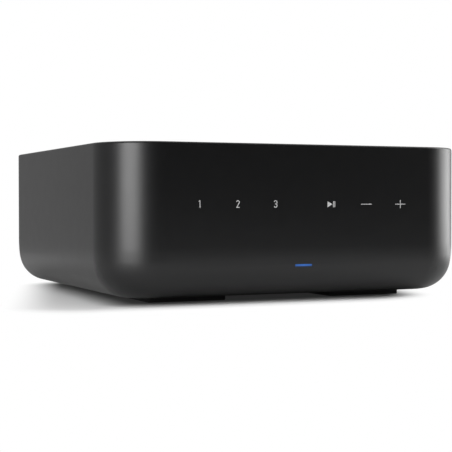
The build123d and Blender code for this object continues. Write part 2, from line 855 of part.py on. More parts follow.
def socket_tongue(x, width, height, depth):
    """Insulator of a small socket: a plug in the shell's back and the tongue that carries its contacts."""
    back_y = socket_face_y - depth
    middle = board_top_z + height / 2
    inside = offset(Pos(x, middle) * RectangleRounded(width, height, 2 * socket_skin), -socket_skin)
    half, half_z = width / 2 - 4 * socket_skin, tongue_thickness / 2
    ends = (back_y, socket_face_y - tongue_setback)
    tongue = block(x - half, x + half, *ends, middle - half_z, middle + half_z)
    return tongue + upright(inside, back_y, back_y + tongue_setback)


shutter_face_y = socket_face_y - shutter_setback
shutter_axle_y = shutter_face_y - shutter_thickness / 2
shutter_low_z = board_top_z + optical_floor + shutter_gap
optical_back_y = shutter_face_y - optical_mouth - optical_swing_room
optical_lens_z = board_top_z + optical_floor + optical_mouth / 2


def optical_socket():
    """Optical input: a square mouth, room in its roof for the open shutter, and the light pipe's lens."""
    body = board_socket(optical_x, optical_width, optical_high_z, optical_depth)
    x_low, x_high = optical_x - optical_mouth / 2, optical_x + optical_mouth / 2
    low_z = board_top_z + optical_floor
    mouth_top_z = shutter_axle_z - shutter_axle_room
    roof_z = shutter_axle_z + shutter_axle_room
    body -= block(x_low, x_high, optical_back_y, socket_face_y + socket_proud, low_z, mouth_top_z)
    body -= block(x_low, x_high, optical_back_y, shutter_face_y + shutter_gap, low_z, roof_z)
    reach = optical_mouth / 2 + shutter_axle_grip + shutter_gap
    axle_hole = shutter_axle_radius + shutter_axle_gap
    body -= rod_x(axle_hole, shutter_axle_y, shutter_axle_z, optical_x - reach, optical_x + reach)
    lens_ends = (optical_back_y - socket_skin, optical_back_y + socket_skin)
    return body + rod_y(optical_lens_radius, optical_x, optical_lens_z, *lens_ends)


def optical_shutter():
    """Sprung door behind the optical mouth, hung from its top edge on two axle stubs."""
    half = optical_mouth / 2 - shutter_gap
    x_low, x_high = optical_x - half, optical_x + half
    back_y = shutter_face_y - shutter_thickness
    door = block(x_low, x_high, back_y, shutter_face_y, shutter_low_z, shutter_axle_z)
    reach = optical_mouth / 2 + shutter_axle_grip
    ends = (optical_x - reach, optical_x + reach)
    return door + rod_x(shutter_axle_radius, shutter_axle_y, shutter_axle_z, *ends)


def jack_sockets():
    """Trigger output and remote-sensor input: jacks with a nose through the panel."""
    back_y = panel_back_y - jack_depth
    half = jack_width / 2
    jacks = []
    for x in (trigger_x, infrared_x):
        jack = block(x - half, x + half, back_y, panel_back_y, board_top_z, board_top_z + jack_height)
        jack += rod_y(jack_nose_radius, x, jack_z, panel_back_y, socket_face_y)
        jacks.append(jack - rod_y(jack_bore_radius, x, jack_z, back_y + jack_end_wall, socket_face_y))
    return jacks


phono_end_y = panel_face_y + phono_reach
phono_core_radius = phono_pin_radius - phono_skin


def phono_sleeve(x):
    """Outer metal sleeve of a phono socket, with a collar against the panel."""
    sleeve = rod_y(phono_pin_radius, x, phono_z, panel_back_y, phono_end_y)
    collar_y = panel_face_y + phono_collar_thickness
    sleeve += rod_y(phono_collar_radius, x, phono_z, panel_face_y, collar_y)
    return sleeve - rod_y(phono_core_radius, x, phono_z, panel_back_y, phono_end_y)


def phono_body(x):
    """Moulded body of a phono socket: a block on the board and the core inside the sleeve."""
    half = phono_width / 2 - cut_gap
    back_y = panel_back_y - phono_depth
    body = block(x - half, x + half, back_y, panel_back_y, board_top_z, phono_z + half)
    body += rod_y(phono_core_radius, x, phono_z, panel_back_y, phono_end_y - phono_core_setback)
    return body - rod_y(phono_contact_radius, x, phono_z, back_y + jack_end_wall, phono_end_y)


button_back_y = panel_back_y - button_flange - button_gap


def setup_button():
    """Small setup key that stands through the panel, kept in by its flange."""
    flange = rod_y(button_flange_radius, button_x, button_z, button_back_y, button_back_y + button_flange)
    return flange + rod_y(button_radius, button_x, button_z, button_back_y, panel_face_y + button_proud)


def setup_switch():
    """Small switch on the main board that the setup key presses."""
    face_y = button_back_y - button_travel - button_gap
    half = button_width / 2
    ends = (face_y - button_width, face_y)
    return block(button_x - half, button_x + half, *ends, board_top_z, button_z + half)


collar_face_y = panel_face_y + collar_thickness
shoulder_face_y = collar_face_y + shoulder_thickness
washer_face_y = shoulder_face_y + washer_thickness
cap_end_y = washer_face_y + cap_length
post_end_y = panel_face_y + post_reach
post_tail_y = panel_back_y - post_tail
post_hole_radius = post_radius + post_gap


def post_stem(x):
    """Metal post: a bored stem with a shoulder, a cross hole for bare wire and a tail for the lead."""
    stem = rod_y(post_radius, x, upper_row_z, post_tail_y, post_end_y)
    stem += rod_y(shoulder_radius, x, upper_row_z, collar_face_y, shoulder_face_y)
    stem -= rod_y(post_bore_radius, x, upper_row_z, post_end_y - post_bore_depth, post_end_y)
    cross_y = washer_face_y + post_cross_hole_radius
    ends = (upper_row_z - 2 * post_radius, upper_row_z + 2 * post_radius)
    return stem - rod_z(post_cross_hole_radius, x, cross_y, *ends)


def post_base(x):
    """Insulating collar outside the panel, with a neck through it."""
    collar = rod_y(collar_radius, x, upper_row_z, panel_face_y, collar_face_y)
    collar = fillet(collar.faces().sort_by(Axis.Y)[-1].edges(), collar_edge)
    collar += rod_y(collar_neck_radius, x, upper_row_z, panel_back_y, panel_face_y)
    return collar - rod_y(post_hole_radius, x, upper_row_z, panel_back_y, collar_face_y)


def post_nut(x):
    """Flanged hexagon nut that clamps the post inside the panel."""
    flange_back_y = panel_back_y - nut_flange_thickness
    nut_back_y = flange_back_y - nut_thickness
    hexagon = Pos(x, upper_row_z) * RegularPolygon(nut_across_flats / 2, 6, major_radius=False)
    nut = upright(hexagon, nut_back_y, flange_back_y)
    nut += rod_y(nut_flange_radius, x, upper_row_z, flange_back_y, panel_back_y)
    return nut - rod_y(post_hole_radius, x, upper_row_z, nut_back_y, panel_back_y)


def clamp_washer(x):
    """Loose washer that the cap presses against the post's shoulder."""
    ring = rod_y(washer_radius, x, upper_row_z, shoulder_face_y, washer_face_y)
    return ring - rod_y(post_hole_radius, x, upper_row_z, shoulder_face_y, washer_face_y)


def terminal_cap(x):
    """Fluted cap that screws along the post, open at its nose for a plug."""
    cap = rod_y(cap_radius, x, upper_row_z, washer_face_y, cap_end_y)
    cap = chamfer(cap.faces().sort_by(Axis.Y)[-1].edges(), cap_chamfer)
    flutes = []
    for step in range(cap_flutes):
        angle = radians(360 / cap_flutes * step)
        flute_x, flute_z = x + cap_radius * cos(angle), upper_row_z + cap_radius * sin(angle)
        flutes.append(rod_y(cap_flute_radius, flute_x, flute_z, washer_face_y + cap_flute_start, cap_end_y))
    return cap - flutes - rod_y(post_hole_radius, x, upper_row_z, washer_face_y, cap_end_y)


def light_guide():
    """Clear bar that carries the status light out through the front wall, flush with its surface."""
    lamp_y = touch_board_front_y - lamp_thickness
    half_x, half_z = light_width / 2, light_height / 2
    bar = block(-half_x, half_x, front_y, lamp_y, light_z - half_z, light_z + half_z) & housing_envelope()
    half_x, half_z = half_x + light_flange, half_z + light_flange
    flange = block(-half_x, half_x, lamp_y - light_flange, lamp_y, light_z - half_z, light_z + half_z)
    return bar + flange


def touch_board():
    """Board behind the front wall, with the status lamp, the key chip and a plug for its ribbon."""
    ends = (-touch_board_half, touch_board_half)
    depth = (touch_board_front_y, touch_board_back_y)
    board = block(*ends, *depth, touch_board_low_z, touch_board_high_z)
    lamp_ends = (touch_board_front_y - lamp_thickness, touch_board_front_y)
    board += block(-lamp_size, lamp_size, *lamp_ends, light_z - lamp_size / 2, light_z + lamp_size / 2)
    plug_half, plug_half_z = (ribbon_width + ribbon_plug_size) / 2, ribbon_plug_size / 2
    plug_ends = (touch_board_back_y, ribbon_start_y)
    plug_z = (ribbon_start_z - plug_half_z, ribbon_start_z + plug_half_z)
    board += block(-plug_half, plug_half, *plug_ends, *plug_z)
    chip_x, chip_half = key_places[-2], key_pad_size / 2
    chip_ends = (touch_board_back_y, touch_board_back_y + chip_height)
    chip_z = (ribbon_start_z - chip_half, ribbon_start_z + chip_half)
    board += block(chip_x - chip_half, chip_x + chip_half, *chip_ends, *chip_z)
    return board - [rod_y(screw_hole_radius, x, z, *depth) for x, z in touch_screw_places]


def touch_pads():
    """Conductive foam pads that join each touch key's place on the wall to the board."""
    half = key_pad_size / 2
    depth = (-inner_y, touch_board_front_y)
    return [block(x - half, x + half, *depth, key_z - half, key_z + half) for x in key_places]


def main_place(place):
    """Point on the main board from its share of the half width and of the depth in front of the ears."""
    return place[0] * board_reach_x, main_front_y + place[1] * (main_ear_y - main_front_y)


def main_board():
    """Main board: full width behind the front boards, narrower where it runs between the bay's bosses."""
    half = port_half + port_gap / 2
    board = block(-board_reach_x, board_reach_x, main_front_y, main_ear_y, board_low_z, board_top_z)
    board += block(-half, half, main_ear_y, main_back_y, board_low_z, board_top_z)
    return board - [rod_z(screw_hole_radius, x, y, board_low_z, board_top_z) for x, y in main_screws]


def main_components():
    """Chips and plugs that stand on the main board, and the switch behind the setup key."""
    ribbon_socket_size = (ribbon_width + ribbon_plug_size, ribbon_plug_size, ribbon_socket_height)
    parts = [setup_switch()]
    for place, (width, depth, height) in (
        (processor_place, processor_size),
        (memory_place, memory_size),
        (clock_place, clock_size),
        (converter_place, converter_size),
        (bridge_place, bridge_size),
        (power_plug_place, power_plug_size),
        (control_place, control_size),
        (ribbon_socket_place, ribbon_socket_size),
    ):
        x, y = main_place(place)
        parts.append(slab(x, y, width, depth, board_top_z, board_top_z + height))
    return parts


def network_module():
    """Wireless module under a folded shield with a raised lid."""
    width, depth, height = module_size
    skirt = Pos(*main_place(module_place)) * RectangleRounded(width, depth, 2 * module_lid_inset)
    lid = offset(skirt, -module_lid_inset)
    high_z = board_top_z + height
    return prism(skirt, board_top_z, high_z) + prism(lid, high_z, high_z + module_lid_height)


def wifi_aerials():
    """Two flat aerials fixed inside the side walls, between the middle pair of ribs."""
    aerials = []
    z_low = base_z + aerial_lift
    for side in (-1, 1):
        x = side * (inner_x - aerial_thickness / 2)
        aerials.append(slab(x, 0, aerial_thickness, aerial_length, z_low, z_low + aerial_height))
    return aerials


def aerial_leads():
    """Thin leads from the wireless module to the aerials."""
    module_x, module_y = main_place(module_place)
    start_z = board_top_z + module_size[2] + module_lid_height
    aerial_z = base_z + aerial_lift + aerial_height / 2
    run_z = aerial_z - aerial_lead_drop
    leads = []
    for side in (-1, 1):
        x = module_x + side * aerial_lead_spread / 2
        aerial_x = side * (inner_x - aerial_thickness)
        turn_x = aerial_x - side * aerial_lead_end
        points = [(x, module_y, start_z), (x, module_y, run_z), (turn_x, 0, run_z)]
        points += [(turn_x, 0, aerial_z), (aerial_x, 0, aerial_z)]
        leads.append(lead(points, aerial_lead_drop / 3, aerial_lead_radius))
    return leads


def ribbon_cable():
    """Flat cable from the touch board over the front boards to the main board."""
    end_y = main_place(ribbon_socket_place)[1]
    path = FilletPolyline(
        (0, ribbon_start_y, ribbon_start_z),
        (0, ribbon_start_y + ribbon_plug_size, ribbon_start_z),
        (0, ribbon_start_y + 2 * ribbon_plug_size, ribbon_high_z),
        (0, end_y, ribbon_high_z),
        (0, end_y, ribbon_end_z),
        radius=ribbon_plug_size / 2,
    )
    start = Plane(origin=path @ 0, x_dir=(1, 0, 0), z_dir=path % 0)
    return sweep(start * Rectangle(ribbon_width, ribbon_thickness), path=path)


def front_board(x_low, x_high, screws, terminal_x):
    """Board in the front of the tub, notched round its tower, with a terminal block for its leads."""
    board = block(x_low, x_high, board_front_y, board_mid_y, board_low_z, board_top_z)
    for side in (-1, 1):
        notch_low, notch_high = sorted((side * notch_x, side * body_width / 2))
        board -= block(notch_low, notch_high, front_y, -notch_y, board_low_z, board_top_z)
    board -= [rod_z(screw_hole_radius, x, y, board_low_z, board_top_z) for x, y in screws]
    high_z = board_top_z + terminal_height
    return board + slab(terminal_x, terminal_y, terminal_width, terminal_depth, board_low_z, high_z)


# Rows of parts on the supply board, and of the heat sink and chokes on the amplifier board
supply_terminal_x = (inlet_x + switch_x) / 2
supply_front_row_y = board_front_y + supply_row_gap
supply_back_row_y = (supply_front_row_y + capacitor_radius + terminal_y - terminal_depth / 2) / 2
supply_back_row = [2 * fuse_radius, choke_base, core_width, supply_sink_width]
supply_row_ends = (supply_edge - board_reach_x, supply_high_x - supply_edge)
fuse_x, choke_x, transformer_x, supply_sink_x = row_places(supply_back_row, *supply_row_ends)
amp_row_ends = (tower_notch_gap - notch_y, terminal_y - terminal_depth / 2 - tower_notch_gap)
sink_y, inductor_y = row_places([sink_length, inductor_size], *amp_row_ends)
chip_top_z = board_top_z + chip_height


def supply_board():
    """Power supply board with its terminal block."""
    return front_board(-board_reach_x, supply_high_x, supply_screws, supply_terminal_x)


def transformer_core():
    """Ferrite core: yokes and three legs, with a window each side of the middle leg."""
    low_z = board_top_z + bobbin_foot
    core = slab(transformer_x, supply_back_row_y, core_width, core_depth, low_z, low_z + core_height)
    window = (core_width - 2 * core_leg) / 2
    window_z = (low_z + core_leg / 2, low_z + core_height - core_leg / 2)
    for side in (-1, 1):
        x = transformer_x + side * (core_leg + window) / 2
        core -= slab(x, supply_back_row_y, window, core_depth, *window_z)
    return core


def transformer_coil():
    """Wound bobbin round the core's middle leg, with a foot each side that stands on the board."""
    place = Pos(transformer_x, supply_back_row_y)
    low_z = board_top_z + bobbin_foot + core_leg / 2 + coil_gap
    high_z = board_top_z + bobbin_foot + core_height - core_leg / 2 - coil_gap
    outer = place * RectangleRounded(coil_width, coil_depth, coil_corner)
    hole = place * Rectangle(core_leg + 2 * coil_gap, core_depth + 2 * coil_gap)
    coil = prism(outer - hole, low_z, high_z)
    foot_depth = (coil_depth - core_depth) / 2 - coil_gap
    for side in (-1, 1):
        y = supply_back_row_y + side * (coil_depth - foot_depth) / 2
        coil += slab(transformer_x, y, coil_width - 2 * coil_corner, foot_depth, board_top_z, high_z)
    return coil


def can(x, y, radius, height):
    """Electrolytic capacitor standing on a board, with the crimp near its foot."""
    high_z = board_top_z + height
    body = rod_z(radius, x, y, board_top_z, high_z)
    body = fillet(body.faces().sort_by(Axis.Z)[-1].edges(), can_edge)
    crimp_z = board_top_z + radius / 3
    crimp = rod_z(radius + can_crimp, x, y, crimp_z, crimp_z + 2 * can_crimp)
    return body - (crimp - rod_z(radius - can_crimp, x, y, board_top_z, high_z))


def capacitors():
    """Reservoir capacitors on the supply board and filter capacitors on the amplifier board."""
    row_ends = (2 * screw_head_radius - notch_screw_x, supply_inner_screw_x - 2 * screw_head_radius)
    sizes = [(capacitor_radius, capacitor_height), (capacitor_radius, capacitor_height)]
    sizes.append((small_capacitor_radius, small_capacitor_height))
    places = row_places([2 * radius for radius, height in sizes], *row_ends)
    cans = [can(x, supply_front_row_y, *size) for x, size in zip(places, sizes)]
    y = board_mid_y - filter_capacitor_radius - board_edge_gap
    for side in (-1, 1):
        x = amp_mid_x + side * filter_capacitor_spread / 2
        cans.append(can(x, y, filter_capacitor_radius, filter_capacitor_height))
    return cans


def mains_choke():
    """Ring choke of the mains filter: two wound halves of a ring, lying on its base."""
    x, y = choke_x, supply_back_row_y
    low_z = board_top_z + choke_base_height
    high_z = low_z + choke_height
    ring = rod_z(choke_radius, x, y, low_z, high_z)
    ring = fillet(ring.faces().sort_by(Axis.Z)[-1].edges(), choke_height / 4)
    ring -= rod_z(choke_hole_radius, x, y, low_z, high_z)
    ring -= slab(x, y, choke_split, 2 * choke_radius, low_z + choke_height / 2, high_z)
    base = Pos(x, y) * RectangleRounded(choke_base, choke_base, choke_split)
    return ring + prism(base, board_top_z, low_z)


def mains_fuse():
    """Glass fuse held in two clips."""
    y_low, y_high = supply_back_row_y - fuse_length / 2, supply_back_row_y + fuse_length / 2
    z = board_top_z + fuse_lift
    fuse = rod_y(fuse_radius, fuse_x, z, y_low, y_high)
    for clip_low in (y_low, y_high - fuse_clip_width):
        ends = (clip_low, clip_low + fuse_clip_width)
        fuse += rod_y(fuse_radius + fuse_clip_wall, fuse_x, z, *ends)
        fuse += block(fuse_x - fuse_radius, fuse_x + fuse_radius, *ends, board_top_z, z)
    return fuse


def finned_sink(place, size, z_low, base, count):
    """Extruded heat sink: a base with upright fins that run from front to back."""
    (x, y), (width, length, height) = place, size
    sink = slab(x, y, width, length, z_low, z_low + base)
    pitch = (width - fin_thickness) / (count - 1)
    for step in range(count):
        fin_x = x + (step - (count - 1) / 2) * pitch
        sink += slab(fin_x, y, fin_thickness, length, z_low, z_low + height)
    return sink


def supply_heat_sink():
    """Small finned sink on the supply board."""
    size = (supply_sink_width, supply_sink_length, supply_sink_height)
    place = (supply_sink_x, supply_back_row_y)
    return finned_sink(place, size, board_top_z, supply_sink_base, supply_sink_fins)


def amplifier_board():
    """Amplifier board with its terminal block and the two output chips under the heat sink."""
    board = front_board(amp_low_x, board_reach_x, amp_screws, amp_mid_x)
    for side in (-1, 1):
        x = amp_mid_x + side * output_chip_spread / 2
        board += slab(x, sink_y, output_chip_size, output_chip_size, board_low_z, chip_top_z)
    return board


def amplifier_heat_sink():
    """Finned extrusion on the output chips, held off the board by four studs."""
    size = (sink_width, sink_length, sink_height)
    sink = finned_sink((amp_mid_x, sink_y), size, chip_top_z, sink_base, sink_fins)
    half_x, half_y = sink_width / 2 - sink_stud_inset, sink_length / 2 - sink_stud_inset
    for x in (amp_mid_x - half_x, amp_mid_x + half_x):
        for y in (sink_y - half_y, sink_y + half_y):
            sink += rod_z(sink_stud_radius, x, y, board_top_z, chip_top_z + sink_base / 2)
    return sink


def output_inductors():
    """Four shielded chokes of the output filters."""
    chokes = []
    for step in range(len(post_places)):
        x = amp_mid_x + (step - (len(post_places) - 1) / 2) * inductor_pitch
        choke = slab(x, inductor_y, inductor_size, inductor_size, board_top_z, board_top_z + inductor_height)
        chokes.append(chamfer(choke.faces().sort_by(Axis.Z)[-1].edges(), inductor_edge))
    return chokes


def speaker_leads():
    """Four wires from the amplifier board's terminal block to the tails of the loudspeaker terminals."""
    wires = []
    start_z = board_top_z + terminal_height
    for step, x in enumerate(post_places.values()):
        start_x = amp_mid_x + (step - (len(post_places) - 1) / 2) * lead_pitch
        points = [(start_x, terminal_y, start_z), (start_x, terminal_y, upper_row_z)]
        points += [(x, post_tail_y - lead_straight, upper_row_z), (x, post_tail_y, upper_row_z)]
        wires.append(lead(points, lead_bend, lead_radius))
    return wires


def mains_leads():
    """Wires from the inlet's pins and the switch's tails to the supply board's terminal block."""
    starts = [(x, inlet_tail_y, upper_row_z) for x in inlet_pin_places]
    starts += [(switch_x, switch_tail_y, upper_row_z + side * switch_tail_pitch / 2) for side in (-1, 1)]
    wires = []
    for step, (x, y, z) in enumerate(starts):
        end_x = supply_terminal_x + (step - (len(starts) - 1) / 2) * lead_pitch
        points = [(x, y, z), (x, y - lead_straight, z), (end_x, terminal_y, z - lead_fall)]
        points.append((end_x, terminal_y, board_top_z + terminal_height))
        wires.append(lead(points, lead_bend, lead_radius))
    return wires


def pieces():
    """Every piece by name."""
    made = {
        "body_shell": body_shell(),
        "top_cover": top_cover(),
        "cover_screws": cover_screws(),
        "light_guide": light_guide(),
        "touch_board": touch_board(),
        "touch_pads": touch_pads(),
        "ribbon_cable": ribbon_cable(),
        "board_screws": board_screws(),
        "main_board": main_board(),
        "main_components": main_components(),
        "network_module": network_module(),
        "wifi_aerials": wifi_aerials(),
        "aerial_leads": aerial_leads(),
        "supply_board": supply_board(),
        "transformer_core": transformer_core(),
        "transformer_coil": transformer_coil(),
        "capacitors": capacitors(),
        "mains_choke": mains_choke(),
        "mains_fuse": mains_fuse(),
        "supply_heat_sink": supply_heat_sink(),
        "amplifier_board": amplifier_board(),
        "amplifier_heat_sink": amplifier_heat_sink(),
        "output_inductors": output_inductors(),
        "speaker_leads": speaker_leads(),
        "mains_leads": mains_leads(),
        "rear_panel": rear_panel(),
        "panel_screws": panel_screws(),
        "mains_inlet": mains_inlet(),
        "mains_pins": mains_pins(),
        "switch_frame": switch_frame(),
        "switch_rocker": switch_rocker(),
        "ethernet_socket": ethernet_socket(),
        "ethernet_contacts": ethernet_contacts(),
        "usb_socket": metal_socket(usb_x, usb_width, usb_height, usb_depth),
        "usb_tongue": socket_tongue(usb_x, usb_width, usb_height, usb_depth),
        "video_socket": metal_socket(video_x, video_width, video_height, video_depth),
        "video_tongue": socket_tongue(video_x, video_width, video_height, video_depth),
        "optical_socket": optical_socket(),
        "optical_shutter": optical_shutter(),
        "jack_sockets": jack_sockets(),
        "phono_sleeves": [phono_sleeve(x) for x in phono_places],
        "line_left_body": phono_body(line_left_x),
        "line_right_body": phono_body(line_right_x),
        "subwoofer_body": phono_body(subwoofer_x),
        "setup_button": setup_button(),
        "post_stems": [post_stem(x) for x in post_places.values()],
        "post_bases": [post_base(x) for x in post_places.values()],
        "post_nuts": [post_nut(x) for x in post_places.values()],
    }
    for name, (x, y) in foot_places().items():
        made[name] = foot(x, y)
    for name, x in post_places.items():
        made[name + "_cap"] = terminal_cap(x)
        made[name + "_washer"] = clamp_washer(x)
    return made


def main():
    """Write one STEP file for each piece."""
    os.makedirs("parts", exist_ok=True)
    for name, shape in pieces().items():
        if isinstance(shape, list):
            shape = Compound(children=[solid for one in shape for solid in one.solids()])
        export_step(shape, f"parts/{name}.step")


main()
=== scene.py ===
"""Looks of a compact streaming amplifier, laid out as an add-on and run as a script.

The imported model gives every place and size. The pieces that show are worked over here: edges are broken,
feet, screw heads, prints, rings and windows are modelled, and each surface gets its real finish.
"""

from functools import partial
import json
from math import atan2, cos, pi, radians, sin

import bmesh
import bpy
from bpy.props import FloatProperty, FloatVectorProperty, PointerProperty
from bpy.types import Operator, Panel, PropertyGroup
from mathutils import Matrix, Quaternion, Vector


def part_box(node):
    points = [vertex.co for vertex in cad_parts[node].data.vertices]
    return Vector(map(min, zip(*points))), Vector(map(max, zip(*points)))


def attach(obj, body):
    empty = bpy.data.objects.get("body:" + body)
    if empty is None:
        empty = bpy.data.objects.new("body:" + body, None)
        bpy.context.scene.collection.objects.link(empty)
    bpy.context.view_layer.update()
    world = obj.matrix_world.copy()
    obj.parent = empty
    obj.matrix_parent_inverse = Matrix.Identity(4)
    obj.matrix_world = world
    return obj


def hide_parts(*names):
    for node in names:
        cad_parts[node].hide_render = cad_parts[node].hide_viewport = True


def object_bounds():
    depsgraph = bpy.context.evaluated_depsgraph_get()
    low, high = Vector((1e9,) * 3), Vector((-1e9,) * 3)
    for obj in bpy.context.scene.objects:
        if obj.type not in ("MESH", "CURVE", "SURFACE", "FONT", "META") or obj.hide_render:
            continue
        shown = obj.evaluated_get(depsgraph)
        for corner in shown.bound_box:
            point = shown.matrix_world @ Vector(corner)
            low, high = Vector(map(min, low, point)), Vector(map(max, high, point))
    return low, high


bl_info = {
    "name": "Streaming Amplifier",
    "version": (1, 0, 0),
    "blender": (4, 5, 0),
    "location": "3D View > Sidebar > Amplifier",
    "description": "Finishes and fine pieces of a compact streaming amplifier",
    "category": "Object",
}

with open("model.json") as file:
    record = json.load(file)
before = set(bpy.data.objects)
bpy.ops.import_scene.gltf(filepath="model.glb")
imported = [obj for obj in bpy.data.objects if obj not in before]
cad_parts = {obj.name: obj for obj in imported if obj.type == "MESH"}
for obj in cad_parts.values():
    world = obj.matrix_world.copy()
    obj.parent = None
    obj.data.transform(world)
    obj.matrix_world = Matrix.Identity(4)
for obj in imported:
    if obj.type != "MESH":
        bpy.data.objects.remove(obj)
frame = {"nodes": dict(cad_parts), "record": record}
cad_low, cad_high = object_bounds()

mm = 0.001
corner_radius = 31 * mm
weld_gap = 0.001 * mm
ink_height = 0.02 * mm
print_lift = 0.03 * mm
thin_edge = 0.08 * mm
turned_edge = 0.12 * mm
hard_angle = radians(35)
smooth_angle = radians(32)
circle_sides = 40
cloud_grains = 24
extruded = (1, 0.06, 1)
floor_size = 40.0
softbox_distance = 0.96
sweep_heading = (-0.34, 0.94, 0.0)
white = (1, 1, 1, 1)
housing = "housing"
TERMINALS = ("left_negative", "left_positive", "right_negative", "right_positive")
FEET = ("foot_front_left", "foot_front_right", "foot_rear_left", "foot_rear_right")
PBT = ("moulded_pbt", "socket_black")
# Outline of a domed screw head from its rim to its middle, in shares of its radius and height
SCREW_HEAD = ((0.97, 0), (1, 0.06), (1, 0.45), (0.96, 0.66), (0.84, 0.84), (0.62, 0.95), (0.36, 1))


def paint(code):
    """Linear colour from an sRGB hex value."""
    parts = [int(code[i : i + 2], 16) / 255 for i in (1, 3, 5)]
    linear = [part / 12.92 if part <= 0.04045 else ((part + 0.055) / 1.055) ** 2.4 for part in parts]
    return (*linear, 1.0)


def length(name, description, default_mm):
    """Length that a user can change, in the scene's unit."""
    return FloatProperty(
        name=name, description=description, default=default_mm * mm, min=0.0, unit="LENGTH", precision=5
    )


def tint(name, description, code):
    """Colour that a user can change."""
    return FloatVectorProperty(
        name=name, description=description, default=paint(code), size=4, min=0.0, max=1.0, subtype="COLOR"
    )


def number(name, description, default):
    """Plain number that a user can change."""
    return FloatProperty(name=name, description=description, default=default, min=0.0)


def angle(name, description, degrees):
    """Angle that a user can change."""
    return FloatProperty(name=name, description=description, default=radians(degrees), unit="ROTATION")


class StageSettings(PropertyGroup):
    """Camera, studio world, lamps and floor."""

    camera_place: FloatVectorProperty(
        name="Camera place", description="Where the camera stands", default=(-0.2936, -0.671, 0.0535),
        subtype="TRANSLATION", unit="LENGTH",
    )
    camera_yaw: angle("Camera yaw", "Turn of the view to the right of straight back", 23.778)
    camera_pitch: angle("Camera pitch", "Tip of the view upwards", -1.091)
    camera_roll: angle("Camera roll", "Turn of the camera about its view", -0.055)
    camera_lens: number("Lens", "Focal length on a 36 mm sensor", 92.77)
    fill: number("Fill", "Light of the room from all round", 0.35)
    sweep_gloss: number("Sweep in gloss", "Brightness of the white sweep in gloss", 0.45)
    dark_gloss: number("Room in gloss", "Brightness of the dark room in gloss", 0.015)
    top_glow: number("Overhead softbox", "Radiance of the overhead softbox", 0.5)
    left_glow: number("Left softbox", "Radiance of the one at the front left", 7.7)
    right_glow: number("Right softbox", "Radiance of the one at the right", 4.2)
    # Painted pools of light: glow painted on the floor, seen in gloss before each softbox, as a share of its radiance
    left_painted_pool: number("Left pool", "Share of its glow on the floor before it", 0.6)
    right_painted_pool: number("Right pool", "Share of its glow on the floor before it", 0.85)
    floor_colour: tint("Floor", "Colour of the floor near the object", "#F4F4F4")
    shadow_start: length("Shadow start", "Distance inside the outline where it starts to clear", 11.5)
    shadow_reach: length("Shadow reach", "Distance past the outline where it ends", 20.0)
    shadow_shift: length("Shadow shift", "Its distance to the left", 6.0)
    shadow_skew: number("Shadow skew", "Its slant to the right per length back", 0.29)
    # Painted contact shadow: for the camera, the floor's colour is darkened under and beside the housing, on top of its
    # real shading
    contact: number("Contact", "Share of the floor's colour under the housing", 0.13)
    painted_contact_start: length("Contact start", "Distance inside the outline where it starts to rise", 34.0)
    painted_contact_end: length("Contact end", "Distance inside the outline where it ends", 6.0)
    painted_contact_shift: length("Contact shift", "Its distance to the left", 2.0)
    painted_contact_skew: number("Contact skew", "Its slant to the right per length back", 0.08)
    bounce: number("Bounce", "Share of plain white under the housing", 0.02)
    # Painted shade in gloss: the floor's colour, as gloss sees it, is darkened under the housing on top of its real
    # shading
    painted_gloss_shade_start: length("Gloss start", "Distance inside the outline where gloss sees it brighten", 24.0)
    painted_gloss_shade_end: length("Gloss end", "Distance inside the outline where gloss sees it lit", 3.0)
    painted_gloss_shade_narrow: length("Gloss narrow", "Distance by which the outline is narrower for gloss", 10.0)
    gloss_painted_shade: number("Floor in gloss", "Share of it that gloss sees under the housing", 0.1)
    gloss_near: length("Gloss near", "Radius inside which gloss sees the lit floor", 230.0)
    gloss_far: length("Gloss far", "Radius outside which it sees the studio", 420.0)


class HousingSettings(PropertyGroup):
    """Tub, cover and feet."""

    plastic: tint("Housing", "Colour of the moulded housing", "#0B0B0C")
    plastic_gloss: number("Housing roughness", "Roughness of the textured moulding", 0.36)
    rim_break: length("Bay rim", "Rounding round the mouth of the connector bay", 0.7)
    rubber: tint("Feet", "Colour of the rubber feet", "#0C0C0C")
    foot_corner: length("Foot corner", "Rounding of a foot's upright corners", 1.0)
    foot_taper: number("Foot taper", "Width of a foot's sole as a share of its top", 0.995)
    foot_edge: length("Foot edge", "Rounding round a foot's sole", 0.5)
    foot_border: length("Foot border", "Width of the rim round a foot's sunk sole", 3.0)
    foot_sink: length("Foot sink", "Depth of a foot's sunk sole", 0.5)


class FrontSettings(PropertyGroup):
    """Key marks and light bar."""

    ink: tint("Marks", "Colour of the key marks", "#BEBEBE")
    digit_height: length("Digit height", "Height of the digits", 3.95)
    digit_width: length("Digit width", "Width that the digits are drawn in", 2.2)
    digit_stroke: length("Digit stroke", "Width of the digits' strokes", 0.42)
    ink_left: length("Ink left", "Distance of the marks to the left of their pads", 0.35)
    ink_rise: length("Ink rise", "Height of the digits above their pads' middles", 0.38)
    sign_drop: length("Sign drop", "Distance of the signs below the digits' middle", 0.15)
    key_pitch: length("Key pitch", "Distance between neighbouring keys of a group", 22.09)
    key_inset: length("Key inset", "Distance of the outermost marks inside the pads' ends", 4.37)
    transport_width: length("Transport width", "Width of the play and pause mark", 4.8)
    transport_height: length("Transport height", "Height of the play and pause mark", 3.2)
    sign_width: length("Sign width", "Width of the plus and minus marks", 6.85)
    sign_height: length("Sign height", "Height of the plus mark", 4.65)
    sign_stroke: length("Sign stroke", "Width of the plus and minus strokes", 0.38)
    glow: tint("Glow", "Colour of the light bar", "#2E6FCB")
    bar_width: length("Bar width", "Width of the light bar in the wall", 10.2)
    bar_height: length("Bar height", "Height of the light bar in the wall", 1.2)
    glow_strength: number("Glow strength", "Strength of the light bar", 0.65)


